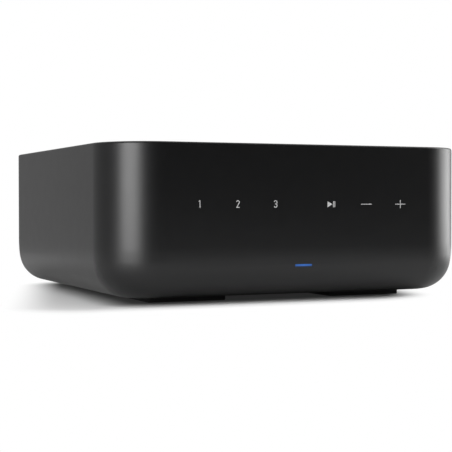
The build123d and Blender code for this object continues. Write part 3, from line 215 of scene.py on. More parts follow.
class RearSettings(PropertyGroup):
    """Panel, screws, sockets and terminals."""

    screw_head: length("Screw head", "Radius of a screw's head", 2.8)
    screw_dome: length("Screw dome", "Height of a screw's head", 1.8)
    drive_width: length("Drive width", "Width of a wing of the cross recess", 0.7)
    drive_span: length("Drive span", "Span of the cross recess", 2.9)
    drive_depth: length("Drive depth", "Depth of the cross recess", 1.1)
    edge_break: length("Edge break", "Rounding of the sockets' and caps' hard edges", 0.15)
    sign_size: length("Sign size", "Width of a polarity or switch sign", 3.0)
    sign_stroke: length("Sign stroke", "Width of such a sign's stroke", 0.6)
    sign_gap: length("Sign gap", "Distance from a terminal's cap to its sign", 2.2)


# Shader helpers


def node_adder(block):
    """Empties the node tree of a new material or world, and returns what adds a node to it."""
    block.use_nodes = True
    block.node_tree.nodes.clear()
    return partial(add_node, block.node_tree)


def add_node(tree, kind, *values, **named):
    """Adds one shader node. Values fill or link its first inputs; a capital name is an input, a small one a setting."""
    node = tree.nodes.new("ShaderNode" + kind)
    inputs = dict(enumerate(values))
    for name, value in named.items():
        if name.islower():
            setattr(node, name, value)
        else:
            inputs[name.replace("_", " ")] = value
    for name, value in inputs.items():
        if isinstance(value, bpy.types.Node):
            value = next(output for output in value.outputs if output.enabled)
        if isinstance(value, bpy.types.NodeSocket):
            tree.links.new(value, node.inputs[name])
        else:
            node.inputs[name].default_value = value
    return node


def surface(name, colour, roughness, grain=0.8, relief=0.004, gloss=0.03, shade=0.06, stretch=(1, 1, 1), **more):
    """Surface whose relief, gloss and shade vary at a real grain size; grain and relief are in millimetres."""
    colour = paint(colour) if isinstance(colour, str) else tuple(colour)
    material = bpy.data.materials.new(name)
    material.diffuse_color = colour
    add = node_adder(material)
    place = add("Mapping", add("TexCoord").outputs["Object"], Scale=stretch)
    scale = 1 / (grain * mm)
    speckle = add("TexNoise", place, Scale=scale)
    cloud = add("TexNoise", place, Scale=scale / cloud_grains, Detail=3.0)
    rough = add("MapRange", cloud, To_Min=roughness - gloss, To_Max=roughness + gloss)
    value = add("MapRange", speckle, To_Min=1 - shade, To_Max=1 + shade)
    tone = add("HueSaturation", Color=colour, Value=value)
    if relief:
        more["Normal"] = add("Bump", Height=speckle, Distance=relief * mm)
    add("OutputMaterial", add("BsdfPrincipled", Base_Color=tone, Roughness=rough, **more))
    return material


# Finishes, each named for what it is and how its surface was made


def moulded_housing():
    """Black ABS blend from a spark-eroded mould: near black, with a broad satin sheen and no sharp glint."""
    settings = bpy.context.scene.amplifier_housing
    return surface("spark_eroded_abs", settings.plastic, settings.plastic_gloss, grain=0.35, gloss=0.02, shade=0.1)


def foot_rubber():
    """Moulded EPDM rubber: matt, a little dusty, with soft highlights."""
    return surface("moulded_epdm", bpy.context.scene.amplifier_housing.rubber, 0.72, grain=0.4, relief=0.02, shade=0.2)


def powder_coat():
    """Steel sheet under fine-textured polyester powder: black grain that scatters its highlight."""
    return surface("powder_coated_steel", "#1B1B1C", 0.5, grain=0.45, relief=0.035, shade=0.15)


def black_oxide():
    """Blackened steel screws: dark metal with an oily sheen that picks out the rim of each head."""
    return surface("black_oxide_steel", "#55555A", 0.3, grain=0.3, Metallic=0.9)


def zinc_plate():
    """Clear zinc on steel: bright, faintly blue, a little dull."""
    return surface("zinc_plated_steel", "#C3C7CB", 0.3, grain=0.6, relief=0.003, Metallic=1)


def tin_plate():
    """Tinned sheet steel, folded: pale satin metal with rolling marks along its length."""
    return surface("tinned_sheet", "#B9B9B6", 0.3, grain=0.25, relief=0.003, stretch=(0.08, 1, 1), Metallic=1)


def gold_flash():
    """Thin gold over nickel on contacts and sleeves: warm and smooth."""
    return surface("gold_flash", "#D9B062", 0.2, relief=0.002, Metallic=1)


def nickel_plate():
    """Bright nickel: nearly a mirror, a touch warm."""
    return surface("bright_nickel", "#CFCAC2", 0.16, relief=0.002, Metallic=1)


def socket_black():
    """Glass-filled PBT sockets: black, smooth, with flow marks that only the gloss shows."""
    return surface("moulded_pbt", "#121213", 0.3, relief=0.006, gloss=0.06)


def core_plastic(name, code):
    """Dyed moulded core of a phono socket: even colour, smooth."""
    return surface(name, code, 0.35, gloss=0.05, shade=0.03)


def cap_plastic(name, code):
    """Dyed polycarbonate cap of a terminal: deep colour under a smooth skin."""
    return surface(name, code, 0.24, grain=0.9, gloss=0.05, shade=0.04, IOR=1.58)


def key_plastic():
    """Grey moulded key: plain, low sheen."""
    return surface("grey_key_plastic", "#3A3A3B", 0.42, grain=0.3)


def solder_mask():
    """Green mask over a glass laminate: glossy, with the weave just telling."""
    return surface("solder_mask", "#12402A", 0.28, grain=0.6, relief=0.01, gloss=0.06, shade=0.25)


def chip_resin():
    """Moulded epoxy of chips and plugs: charcoal, matt."""
    return surface("moulded_epoxy", "#1D1D1E", 0.6, grain=0.2, relief=0.006, shade=0.2)


def capacitor_sleeve():
    """Shrunk sleeve of the capacitor cans: dark blue-black film."""
    return surface("shrunk_sleeve", "#161B2A", 0.3, grain=0.9, relief=0.01, gloss=0.08)


def winding_tape():
    """Polyester tape round the transformer's coil: yellow film with overlap lines."""
    return surface("polyester_tape", "#C9971F", 0.32, grain=1.2, relief=0.02, stretch=(0.2, 0.2, 2))


def ferrite():
    """Fired ferrite: grey-black and faintly glittering."""
    return surface("fired_ferrite", "#2B2B2D", 0.5, grain=0.15, relief=0.01, shade=0.3)


def enamelled_copper():
    """Enamelled copper wire wound on the choke: orange-brown, with the turns as ridges."""
    return surface("enamelled_copper", "#A55A2A", 0.28, grain=1.0, relief=0.1, stretch=(0.3, 0.3, 1), Metallic=0.8)


def copper_foil():
    """Copper foil of the aerials under a clear film: dull brown-red."""
    return surface("filmed_copper", "#9A5B33", 0.35, grain=1.5, Metallic=0.7)


def fuse_glass():
    """Drawn glass tube: clear and smooth, seen by its rims."""
    plain = {"grain": 0.5, "relief": 0, "gloss": 0, "shade": 0}
    return surface("drawn_glass", "#E8F0F0", 0.03, **plain, Transmission_Weight=1, IOR=1.5)


def plain_aluminium():
    """Extruded aluminium as it comes from the die: pale, streaked along its length."""
    return surface("extruded_aluminium", "#B4B5B7", 0.36, grain=0.3, relief=0.006, stretch=extruded, Metallic=1)


def black_anodised():
    """Black anodised extrusion: dark satin metal, streaked along its length."""
    return surface("black_anodised", "#1E1E20", 0.4, grain=0.3, relief=0.006, stretch=extruded, Metallic=0.6)


def choke_powder():
    """Pressed iron powder of the output chokes: mid grey, dull."""
    return surface("pressed_iron_powder", "#4A4A4C", 0.65, grain=0.25, relief=0.02, shade=0.2)


def wire_cover(name, code):
    """Extruded PVC insulation: smooth, slightly waxy."""
    return surface(name, code, 0.4, grain=1.0, gloss=0.05, shade=0.03)


def flat_cable():
    """White flat cable with its conductors as fine ridges."""
    return surface("flat_cable", "#C9C9C5", 0.4, grain=1.0, relief=0.05, stretch=(1, 0.02, 0.02))


def key_foam():
    """Conductive foam: charcoal and open-celled."""
    return surface("conductive_foam", "#26262A", 0.9, grain=0.5, relief=0.15, shade=0.4)


def print_ink():
    """Screen-printed ink, pale grey: matt, a little uneven at its edge."""
    return surface("screen_print_ink", bpy.context.scene.amplifier_front.ink, 0.55, grain=0.25, shade=0.05)


def window_plastic(name, code):
    """Clear tinted window of an unlit lamp: glossy."""
    return surface(name, code, 0.2)


def lit_acrylic():
    """Light bar in frosted acrylic, lit from above: brightest in the middle, dimmer at its ends and foot."""
    settings = bpy.context.scene.amplifier_front
    material = bpy.data.materials.new("lit_acrylic")
    add = node_adder(material)
    place = add("SeparateXYZ", add("TexCoord").outputs["Object"]).outputs
    away = add("Math", place["X"], operation="ABSOLUTE")
    middle_glow, end_glow = 1.25 * settings.glow_strength, 0.85 * settings.glow_strength
    level = add("MapRange", away, From_Max=settings.bar_width / 2, To_Min=middle_glow, To_Max=end_glow)
    middle_z, tall = extent("light_guide")[2].z, settings.bar_height
    foot = add("MapRange", place["Z"], From_Min=middle_z - tall / 2, From_Max=middle_z + tall * 0.1, To_Min=0.15)
    power = add("Math", level, foot, operation="MULTIPLY")
    look = {"Emission_Color": tuple(settings.glow), "Emission_Strength": power}
    add("OutputMaterial", add("BsdfPrincipled", Base_Color=paint("#0A1626"), Roughness=0.3, **look))
    return material


# CAD nodes of each finish that has no choice of colour; the ink is for prints that are modelled here
NODE_FINISHES = {
    moulded_housing: "body_shell top_cover",
    foot_rubber: " ".join(FEET),
    powder_coat: "rear_panel",
    black_oxide: "cover_screws panel_screws",
    zinc_plate: "board_screws post_nuts",
    tin_plate: "network_module usb_socket video_socket",
    gold_flash: "ethernet_contacts phono_sleeves post_stems " + " ".join(name + "_washer" for name in TERMINALS),
    nickel_plate: "mains_pins",
    socket_black: "mains_inlet switch_frame switch_rocker ethernet_socket usb_tongue video_tongue"
    " optical_socket optical_shutter jack_sockets post_bases",
    key_plastic: "setup_button",
    solder_mask: "touch_board main_board supply_board amplifier_board",
    chip_resin: "main_components",
    capacitor_sleeve: "capacitors",
    winding_tape: "transformer_coil",
    ferrite: "transformer_core",
    enamelled_copper: "mains_choke",
    copper_foil: "wifi_aerials",
    fuse_glass: "mains_fuse",
    plain_aluminium: "supply_heat_sink",
    black_anodised: "amplifier_heat_sink",
    choke_powder: "output_inductors",
    flat_cable: "ribbon_cable",
    key_foam: "touch_pads",
    lit_acrylic: "light_guide",
    print_ink: "",
}


# Modelling helpers


def extent(node):
    """Low corner, high corner and middle of a CAD node's box."""
    low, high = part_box(node)
    return low, high, (low + high) / 2


def take(*pieces):
    """Leaves just these pieces selected, or none, the last one active."""
    bpy.ops.object.select_all(action="DESELECT")
    for piece in pieces:
        piece.select_set(True)
        bpy.context.view_layer.objects.active = piece


def open_mesh(piece, kind="FACE"):
    """Opens a piece in edit mode with everything selected."""
    take(piece)
    bpy.ops.object.mode_set(mode="EDIT")
    bpy.ops.mesh.select_mode(type=kind)
    bpy.ops.mesh.select_all(action="SELECT")


def close_mesh():
    """Leaves edit mode with the faces pointing outwards."""
    bpy.ops.mesh.select_all(action="SELECT")
    bpy.ops.mesh.normals_make_consistent(inside=False)
    bpy.ops.object.mode_set(mode="OBJECT")


def select(piece, kind, test):
    """In edit mode, selects just the faces or edges that pass a test."""
    bpy.ops.mesh.select_mode(type=kind)
    bpy.ops.mesh.select_all(action="DESELECT")
    mesh = bmesh.from_edit_mesh(piece.data)
    for item in mesh.faces if kind == "FACE" else mesh.edges:
        if test(item):
            item.select_set(True)
    mesh.select_flush_mode()
    bmesh.update_edit_mesh(piece.data)


def middle(edge):
    """Middle of an edge."""
    return (edge.verts[0].co + edge.verts[1].co) / 2


def weld(gap=weld_gap):
    """In edit mode, selects everything and merges what lies together."""
    bpy.ops.mesh.select_all(action="SELECT")
    bpy.ops.mesh.remove_doubles(threshold=gap)


def linked(name, data):
    """New object for some data, in the scene."""
    item = bpy.data.objects.new(name, data)
    bpy.context.scene.collection.objects.link(item)
    return item


def settle(piece):
    """Puts a piece's place, turn and size into its mesh."""
    take(piece)
    bpy.ops.object.transform_apply(location=True, rotation=True, scale=True)
    return piece


def worked_copy(node, name):
    """One welded mesh from a CAD node's loose triangles, its flat faces whole again."""
    piece = linked(name, frame["nodes"][node].data.copy())
    open_mesh(piece)
    bpy.ops.mesh.customdata_custom_splitnormals_clear()
    weld(2 * weld_gap)
    bpy.ops.mesh.dissolve_limited(angle_limit=radians(0.4))
    close_mesh()
    return piece


def apply_modifier(piece, kind, **settings):
    """Adds a modifier to a piece and applies it."""
    take(piece)
    bpy.ops.object.modifier_add(type=kind)
    modifier = piece.modifiers[-1]
    for name, value in settings.items():
        setattr(modifier, name, value)
    bpy.ops.object.modifier_apply(modifier=modifier.name)


def break_edges(piece, width):
    """Rounds a piece's hard edges."""
    limit = {"limit_method": "ANGLE", "angle_limit": hard_angle, "use_clamp_overlap": False}
    apply_modifier(piece, "BEVEL", width=width, segments=2, **limit)


def smooth(piece):
    """Shades curves smooth and keeps flats flat and edges hard."""
    take(piece)
    bpy.ops.object.shade_smooth_by_angle(angle=smooth_angle)
    apply_modifier(piece, "WEIGHTED_NORMAL", keep_sharp=True)


def joined(name, parts):
    """Several modelled parts as one piece."""
    take(*parts)
    bpy.ops.object.join()
    piece = bpy.context.object
    piece.name = name
    return piece


def finished(piece, material, slot=None, *nodes, body=housing):
    """Gives a piece its finish and its body, and hides the CAD nodes that it stands for."""
    settle(piece)
    piece.data.materials.clear()
    piece.data.materials.append(bpy.data.materials[material])
    if nodes:
        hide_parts(*nodes)
    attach(piece, body)
    return piece


def worked_node(node, material, slot, body=housing, edge=0.0):
    """A CAD node's form with its hard edges broken and its curves smooth, standing for the node."""
    piece = worked_copy(node, node + "_worked")
    if edge:
        break_edges(piece, edge)
    smooth(piece)
    return finished(piece, material, slot, node, body=body)


def box_piece(name, low, high):
    """Cube set between two corners."""
    low, high = Vector(low), Vector(high)
    take()
    bpy.ops.mesh.primitive_cube_add(size=1, location=(low + high) / 2)
    piece = bpy.context.object
    piece.name = name
    piece.scale = high - low
    return settle(piece)


def cut(piece, cutter, how="DIFFERENCE"):
    """Cuts one solid by another, or joins them, and removes the second."""
    apply_modifier(piece, "BOOLEAN", object=cutter, operation=how, solver="EXACT")
    bpy.data.objects.remove(cutter)
    return piece


def trim(piece, point, normal):
    """Cuts off what lies past a plane and closes the cut."""
    open_mesh(piece)
    bpy.ops.mesh.bisect(plane_co=point, plane_no=normal, clear_outer=True, use_fill=True)
    close_mesh()


def turned(name, rings, hollow=False):
    """Turned piece along +Z: a circle raised and scaled from ring to ring of (radius, height)."""
    radius, height = rings[0]
    take()
    bpy.ops.mesh.primitive_circle_add(vertices=circle_sides, radius=radius, location=(0, 0, height))
    piece = settle(bpy.context.object)
    piece.name = name
    open_mesh(piece, "EDGE")
    if not hollow:
        bpy.ops.mesh.edge_face_add()
    for next_radius, next_height in rings[1:] + (rings[:1] if hollow else []):
        move = {"value": (0, 0, next_height - height)}
        bpy.ops.mesh.extrude_region_move(TRANSFORM_OT_translate=move)
        scale = next_radius / radius
        bpy.ops.transform.resize(value=(scale, scale, 1), center_override=(0, 0, next_height))
        radius, height = next_radius, next_height
    weld()
    close_mesh()
    return piece


def copy_of(piece, place, turn=(0, 0, 0)):
    """Copy with a mesh of its own, set at a place and turned."""
    twin = piece.copy()
    twin.data = piece.data.copy()
    bpy.context.scene.collection.objects.link(twin)
    twin.location, twin.rotation_euler = place, turn
    return settle(twin)


def mark_band(name, start, heading, width, *moves):
    """Printed band of one width in the front's plane, round arcs and along straight runs.

    A move is ("run", length) or ("turn", radius, angle), where a positive angle turns left.
    """
    turn = (pi / 2, -heading, 0)
    take()
    bpy.ops.mesh.primitive_plane_add(size=1, location=(start[0], 0, start[1]), rotation=turn)
    piece = bpy.context.object
    piece.name = name
    sliver = width / 20
    piece.scale = (sliver, width, 1)
    settle(piece)
    open_mesh(piece)
    ahead = Vector((cos(heading), 0, sin(heading)))
    point = Vector((start[0], 0, start[1])) + ahead * sliver / 2
    select(piece, "EDGE", lambda edge: (middle(edge) - point).length < sliver / 4)
    for kind, amount, *turns in moves:
        if kind == "run":
            ahead = Vector((cos(heading), 0, sin(heading))) * amount
            bpy.ops.mesh.extrude_region_move(TRANSFORM_OT_translate={"value": ahead})
            point = point + ahead
            continue
        side = amount if turns[0] > 0 else -amount
        centre = point + Vector((-sin(heading), 0, cos(heading))) * side
        steps = max(3, round(abs(turns[0]) / radians(9)))
        bpy.ops.mesh.spin(steps=steps, angle=turns[0], center=centre, axis=(0, 1, 0))
        heading += turns[0]
        point = centre - Vector((-sin(heading), 0, cos(heading))) * side
    bpy.ops.mesh.select_mode(type="FACE")
    weld()
    bpy.ops.mesh.extrude_region_move(TRANSFORM_OT_translate={"value": (0, 2 * ink_height, 0)})
    close_mesh()
    return piece


def seat(piece, start, direction):
    """Point and normal where a ray meets a piece."""
    bpy.context.view_layer.update()
    hit, point, normal, _ = piece.ray_cast(Vector(start), Vector(direction))
    if not hit:
        raise RuntimeError(f"no surface of {piece.name} lies that way")
    return point, normal


# Stage


def set_camera(stage):
    """Camera at its place, turned by its yaw, pitch and roll."""
    camera = linked("camera", bpy.data.cameras.new("camera"))
    camera.data.sensor_width = 36
    camera.data.lens = stage.camera_lens
    camera.location = stage.camera_place
    yaw, pitch = stage.camera_yaw, stage.camera_pitch
    view = Vector((sin(yaw) * cos(pitch), cos(yaw) * cos(pitch), sin(pitch)))
    roll = Quaternion((0, 0, 1), stage.camera_roll)
    camera.rotation_euler = (view.to_track_quat("-Z", "Y") @ roll).to_euler()
    bpy.context.scene.camera = camera


def add_softbox(name, place, facing, size, glow):
    """Softbox that the camera doesn't see; its power is radiance times area times pi."""
    data = bpy.data.lights.new(name, "AREA")
    data.shape = "RECTANGLE"
    data.size, data.size_y = size
    data.energy = glow * size[0] * size[1] * pi
    lamp = linked(name, data)
    lamp.location = place
    lamp.rotation_euler = Vector(facing).to_track_quat("-Z", "Y").to_euler()
    lamp.visible_camera = False


def seen_by_camera(add, rays):
    """1 where the camera looks, straight or through glass."""
    return add("Math", rays["Is Camera Ray"], rays["Is Transmission Ray"], operation="MAXIMUM")


def studio_in_gloss(add, stage, heading):
    """What gloss sees of the studio in a heading: the lit sweep behind the object, the dark room in front."""
    behind = add("VectorMath", heading, sweep_heading, operation="DOT_PRODUCT")
    darkest = -0.75
    return add("MapRange", behind, From_Min=darkest, To_Min=stage.dark_gloss, To_Max=stage.sweep_gloss)


def painted_pool_in_gloss(add, heading, facing, spread, glow):
    """Painted pool of light that gloss sees on the floor in front of a softbox: full in its width, gone beside."""
    toward = add("VectorMath", heading, facing, operation="DOT_PRODUCT")
    gone, full = cos(1.6 * spread), cos(0.7 * spread)
    return add("MapRange", toward, From_Min=gone, From_Max=full, To_Max=glow)


def beyond(add, place, near, far):
    """Rises from 0 to 1 between two distances from the middle."""
    away = add("VectorMath", place, operation="LENGTH")
    return add("MapRange", away, From_Min=near, From_Max=far, interpolation_type="SMOOTHSTEP")


def outside(add, place, start, end, shift=0.0, skew=0.0, narrow=0.0):
    """Rises from 0 to 1 between two distances from the housing's outline.

    The outline can be moved to the left, skewed so that its rear lies further right, or made narrower.
    """
    if shift or skew:
        place = add("VectorMath", place, (shift, 0, 0), operation="ADD")
        across = add("VectorMath", place, (1, -skew, 0), operation="DOT_PRODUCT")
        place = add("CombineXYZ", across, add("SeparateXYZ", place).outputs["Y"])
    half = (cad_high.x - corner_radius - narrow, cad_high.y - corner_radius, 0)
    past = add("VectorMath", place, operation="ABSOLUTE")
    past = add("VectorMath", past, half, operation="SUBTRACT")
    past = add("VectorMath", past, (0, 0, 0), operation="MAXIMUM")
    return beyond(add, past, corner_radius + start, corner_radius + end)


def set_world(stage):
    """White all round for the camera; in gloss, a white sweep behind the object and a dark room in front."""
    bpy.context.scene.world = bpy.data.worlds.new("studio")
    add = node_adder(bpy.context.scene.world)
    rays = add("LightPath").outputs
    gloss = studio_in_gloss(add, stage, add("TexCoord").outputs["Generated"])
    light = add("MapRange", rays["Is Glossy Ray"], To_Min=stage.fill, To_Max=gloss)
    strength = add("MapRange", seen_by_camera(add, rays), To_Min=light)
    add("OutputWorld", add("Background", white, strength))


def set_floor(stage, painted_pools):
    """Pale floor: plain white to the camera past the soft shadow, diffuse in it, with a painted contact shadow near the
    housing; in gloss, lit by the lamps near the housing with painted shade under it, and farther out a painted studio
    glow with painted pools of light before the softboxes.
    """
    take()
    bpy.ops.mesh.primitive_plane_add(size=floor_size)
    floor = bpy.context.object
    floor.name = "floor"
    material = bpy.data.materials.new("white_floor")
    add = node_adder(material)
    rays = add("LightPath").outputs
    place = add("TexCoord").outputs["Object"]
    seen = seen_by_camera(add, rays)
    clear = outside(add, place, -stage.shadow_start, stage.shadow_reach, stage.shadow_shift, stage.shadow_skew)
    seen_plain = add("Math", seen, add("MapRange", clear, To_Min=stage.bounce), operation="MULTIPLY")
    # Painted light: past the lit radius, gloss sees the floor glow like the studio, bright towards the sweep and dark
    # towards the room, with painted pools of light before the softboxes
    far = beyond(add, place, stage.gloss_near, stage.gloss_far)
    gloss_plain = add("Math", rays["Is Glossy Ray"], far, operation="MULTIPLY")
    plain = add("Math", seen_plain, gloss_plain, operation="MAXIMUM")
    heading = add("VectorMath", place, operation="NORMALIZE")
    gloss = studio_in_gloss(add, stage, heading)
    for facing, spread, glow in painted_pools:
        gloss = add("Math", gloss, painted_pool_in_gloss(add, heading, facing, spread, glow), operation="MAXIMUM")
    # Painted shade: for gloss, the floor's colour darkens under the housing
    near = outside(add, place, -stage.painted_gloss_shade_start, -stage.painted_gloss_shade_end, narrow=stage.painted_gloss_shade_narrow)
    near = add("MapRange", near, To_Min=stage.gloss_painted_shade)
    # Painted contact shadow: for the camera, the floor's colour darkens towards the housing and under it
    close = outside(add, place, -stage.painted_contact_start, -stage.painted_contact_end, stage.painted_contact_shift, stage.painted_contact_skew)
    close = add("MapRange", close, To_Min=stage.contact)
    # Painted shade in the floor's colour: the contact shadow for the camera, the darkening under the housing for gloss
    painted_floor_shade = add("MapRange", rays["Is Glossy Ray"], To_Min=close, To_Max=near)
    lit = add("BsdfDiffuse", add("HueSaturation", Color=tuple(stage.floor_colour), Value=painted_floor_shade))
    # Emission: plain white to the camera; to gloss, the painted studio glow and painted pools of light
    bright = add("Emission", white, add("MapRange", seen, To_Min=gloss))
    add("OutputMaterial", add("MixShader", plain, lit, bright))
    floor.data.materials.append(material)


# Fine pieces of the housing and the front


def foot_model(settings, low, high):
    """Foot between two corners: a tapered pad with a rounded, sunk sole."""
    foot = box_piece("foot", low, high)
    open_mesh(foot)
    select(foot, "EDGE", lambda edge: abs(edge.verts[0].co.z - edge.verts[1].co.z) > mm)
    bpy.ops.mesh.bevel(offset=settings.foot_corner, segments=8, affect="EDGES")
    select(foot, "FACE", lambda face: face.normal.z < -0.9)
    scale = settings.foot_taper
    bpy.ops.transform.resize(value=(scale, scale, 1), center_override=(low + high) / 2)
    bpy.ops.mesh.region_to_loop()
    bpy.ops.mesh.bevel(offset=settings.foot_edge, segments=3, affect="EDGES")
    select(foot, "FACE", lambda face: face.normal.z < -0.99)
    bpy.ops.mesh.inset(thickness=settings.foot_border)
    bpy.ops.transform.translate(value=(0, 0, settings.foot_sink))
    close_mesh()
    smooth(foot)
    return foot


def mark_bar(name, x, z, width, height):
    """Printed bar about a point of the front's plane."""
    half = Vector((width / 2, 0, height / 2))
    depth = Vector((0, 2 * ink_height, 0))
    centre = Vector((x, 0, z))
    return box_piece(name, centre - half, centre + half + depth)


def mark_one(settings):
    """Digit 1: a stem with a slanted flag."""
    half, stroke = settings.digit_height / 2, settings.digit_stroke
    stem_x, slant = settings.digit_width * 0.16, radians(32)
    stem_width, flag_width, flag_length = stroke * 0.95, stroke * 0.85, stroke * 2
    mark = mark_bar("mark_1", stem_x, 0, stem_width, 2 * half)
    start = (stem_x - stroke * 1.75, half - stroke * 1.55)
    flag = mark_band("flag", start, slant, flag_width, ("run", flag_length))
    trim(flag, (stem_x, 0, 0), (1, 0, 0))
    return cut(mark, flag, "UNION")


def mark_two(settings):
    """Digit 2: an arc that runs on straight down to a flat base."""
    half, stroke = settings.digit_height / 2, settings.digit_stroke
    width = settings.digit_width * 0.9
    base_width = width * 0.94
    radius = (width - stroke) / 2
    centre_z = half - stroke / 2 - radius
    begin, end = radians(168), radians(-31)
    start = (radius * cos(begin), centre_z + radius * sin(begin))
    fall = centre_z + radius * sin(end) + half
    moves = (("turn", radius, end - begin), ("run", fall / cos(end)))
    bowl = mark_band("bowl", start, begin - pi / 2, stroke, *moves)
    trim(bowl, (0, 0, stroke / 2 - half), (0, 0, -1))
    base = mark_bar("mark_2", 0, stroke / 2 - half, base_width, stroke)
    return cut(base, bowl, "UNION")


def mark_three(settings):
    """Digit 3: a small bowl over a larger one."""
    half, stroke = settings.digit_height / 2, settings.digit_stroke
    lower = (settings.digit_width - stroke) / 2
    upper = (2 * half - stroke - 2 * lower) / 2
    waist = stroke / 2 - half + 2 * lower
    begin = radians(158)
    start = (upper * cos(begin), waist + upper + upper * sin(begin))
    moves = (("turn", upper, -begin - pi / 2), ("run", stroke / 2))
    mark = mark_band("mark_3", start, begin - pi / 2, stroke, *moves)
    start = (lower * cos(begin), waist - lower - lower * sin(begin))
    bowl = mark_band("bowl", start, pi / 2 - begin, stroke, ("turn", lower, begin + pi / 2))
    return cut(mark, bowl, "UNION")


def mark_play(settings):
    """Play and pause: an arrow with two bars to its right."""
    width, height, z = settings.transport_width, settings.transport_height, -settings.sign_drop
    bar_width, gap = width * 0.1, width * 0.08
    reach = width - 2 * bar_width - 2 * gap
    bars = [
        mark_bar("pause_bar", width / 2 - place, z, bar_width, height)
        for place in (bar_width / 2, bar_width * 1.5 + gap)
    ]
    arrow = mark_bar("arrow", (reach - width) / 2, z, reach, height)
    open_mesh(arrow)
    select(arrow, "FACE", lambda face: face.normal.x > 0.9)
    bpy.ops.transform.resize(value=(1, 1, 0.001), center_override=(reach - width / 2, 0, z))
    weld(10 * weld_gap)
    close_mesh()
    return joined("mark_play", [arrow, *bars])


def mark_minus(settings, name="mark_minus"):
    """Minus: one bar."""
    return mark_bar(name, 0, -settings.sign_drop, settings.sign_width, settings.sign_stroke)


def mark_plus(settings):
    """Plus: a minus with a post."""
    post = mark_bar("post", 0, -settings.sign_drop, settings.sign_stroke, settings.sign_height)
    return cut(mark_minus(settings, "mark_plus"), post, "UNION")


# Fine pieces of the rear


def add_panel_screws(settings):
    """Four domed screws with cross recesses, in the panel's corners."""
    head, dome, shank, reach = settings.screw_head, settings.screw_dome, 1.5 * mm, 9 * mm
    rings = [(shank, -reach), (shank, 0)]
    model = turned("screw", rings + [(head * across, dome * up) for across, up in SCREW_HEAD])
    half, span = settings.drive_width / 2, settings.drive_span / 2
    floor = dome - settings.drive_depth
    for wide, deep in ((span, half), (half, span)):
        cut(model, box_piece("wing", (-wide, -deep, floor), (wide, deep, 2 * dome)))
    low, high, _ = extent("panel_screws")
    corners = [(x, z) for x in (low.x + head, high.x - head) for z in (low.z + head, high.z - head)]
    screws = [copy_of(model, (x, high.y - dome, z), (-pi / 2, 0, 0)) for x, z in corners]
    bpy.data.objects.remove(model)
    screws = joined("panel_screw_set", screws)
    smooth(screws)
    finished(screws, "black_oxide_steel", "black_steel", "panel_screws")


def print_polarity(settings):
    """Plus or minus over each terminal, printed on the panel."""
    face_y = extent("rear_panel")[1].y
    half, stroke = settings.sign_size / 2, settings.sign_stroke / 2
    signs = []
    for name in TERMINALS:
        _, high, centre = extent(name + "_cap")
        place = Vector((centre.x, face_y, high.z + settings.sign_gap))
        wide, tall = Vector((half, print_lift, stroke)), Vector((stroke, print_lift, half))
        sign = box_piece("sign", place - wide, place + wide)
        if "positive" in name:
            cut(sign, box_piece("post", place - tall, place + tall), "UNION")
        signs.append(sign)
    finished(joined("polarity_signs", signs), "screen_print_ink")


def print_rocker(settings, rocker):
    """Signs for on and off, laid on the rocker's two slopes."""
    low, high, centre = extent("switch_frame")
    height_share = 0.22
    reach = (high.z - low.z) * height_share
    size, stroke, lift = settings.sign_size, settings.sign_stroke, print_lift
    on = box_piece("on", (-stroke / 2, -lift, -size / 2), (stroke / 2, lift, size / 2))
    rings = [(size / 2, -lift), (size / 2, lift), (size / 2 - stroke, lift), (size / 2 - stroke, -lift)]
    off = turned("off", rings, hollow=True)
    off.rotation_euler = (pi / 2, 0, 0)
    settle(off)
    for sign, side in ((on, 1), (off, -1)):
        point, normal = seat(rocker, (centre.x, 0.2, centre.z + side * reach), (0, -1, 0))
        sign.location = point
        sign.rotation_euler = Vector((0, 1, 0)).rotation_difference(normal).to_euler()
        settle(sign)
    finished(joined("rocker_signs", [on, off]), "screen_print_ink", body="switch_rocker")


def add_tongue_contacts(tongue, node, count):
    """Row of gold strips let into the top of a tongue."""
    low, high, centre = extent(node)
    point, _ = seat(tongue, (centre.x, high.y - mm, centre.z + 2 * mm), (0, 0, -1))
    row_share, strip_share, depth_share = 0.78, 0.56, 0.6
    pitch = (high.x - low.x) * row_share / count
    half = pitch * strip_share / 2
    inner_y, outer_y = high.y - (high.y - low.y) * depth_share, high.y - 0.8 * mm
    foot_z, top_z = point.z - 0.05 * mm, point.z + 0.08 * mm
    strips = []
    for step in range(count):
        x = centre.x + (step - (count - 1) / 2) * pitch
        strips.append(box_piece("strip", (x - half, inner_y, foot_z), (x + half, outer_y, top_z)))
    finished(joined(node + "_contacts", strips), "gold_flash", "contact_gold")


def add_rings():
    """Gold ring round each phono bore, nickel ring round each jack's bore."""
    width, rise = 0.5 * mm, 0.1 * mm
    for ending, name, material, slot in (
        ("_contact", "phono_rings", "gold_flash", "contact_gold"),
        ("_jack_bore", "jack_rings", "bright_nickel", "pin_nickel"),
    ):
        rings = []
        for mount in frame["record"]["mounts"]:
            if not mount["name"].endswith(ending):
                continue
            x, y, z = mount["pos_m"]
            radius, half = mount["dims"]["r_mm"] * mm, mount["dims"]["length_mm"] * mm / 2
            profile = [(radius, -mm), (radius + width, -mm), (radius + width, rise), (radius, rise)]
            ring = turned("ring", profile, hollow=True)
            ring.location, ring.rotation_euler = (x, y + half, z), (-pi / 2, 0, 0)
            rings.append(settle(ring))
        rings = joined(name, rings)
        smooth(rings)
        finished(rings, material, slot)


def add_windows():
    """Amber and green lamp windows low in the network socket's face."""
    low, high, centre = extent("ethernet_socket")
    width, height = 2.4 * mm, 1.3 * mm
    z, spread = low.z + height * 1.25, (high.x - low.x) * 0.335
    inner_y, outer_y = high.y - 0.4 * mm, high.y + 0.12 * mm
    for side, name, code in ((-1, "amber_window", "#8A6A1A"), (1, "green_window", "#3C6B2A")):
        x = centre.x + side * spread
        corner = (x - width / 2, inner_y, z - height / 2)
        window = box_piece(name, corner, (x + width / 2, outer_y, z + height / 2))
        break_edges(window, 0.1 * mm)
        smooth(window)
        finished(window, window_plastic(name + "_plastic", code).name, "socket_black")


# Operators


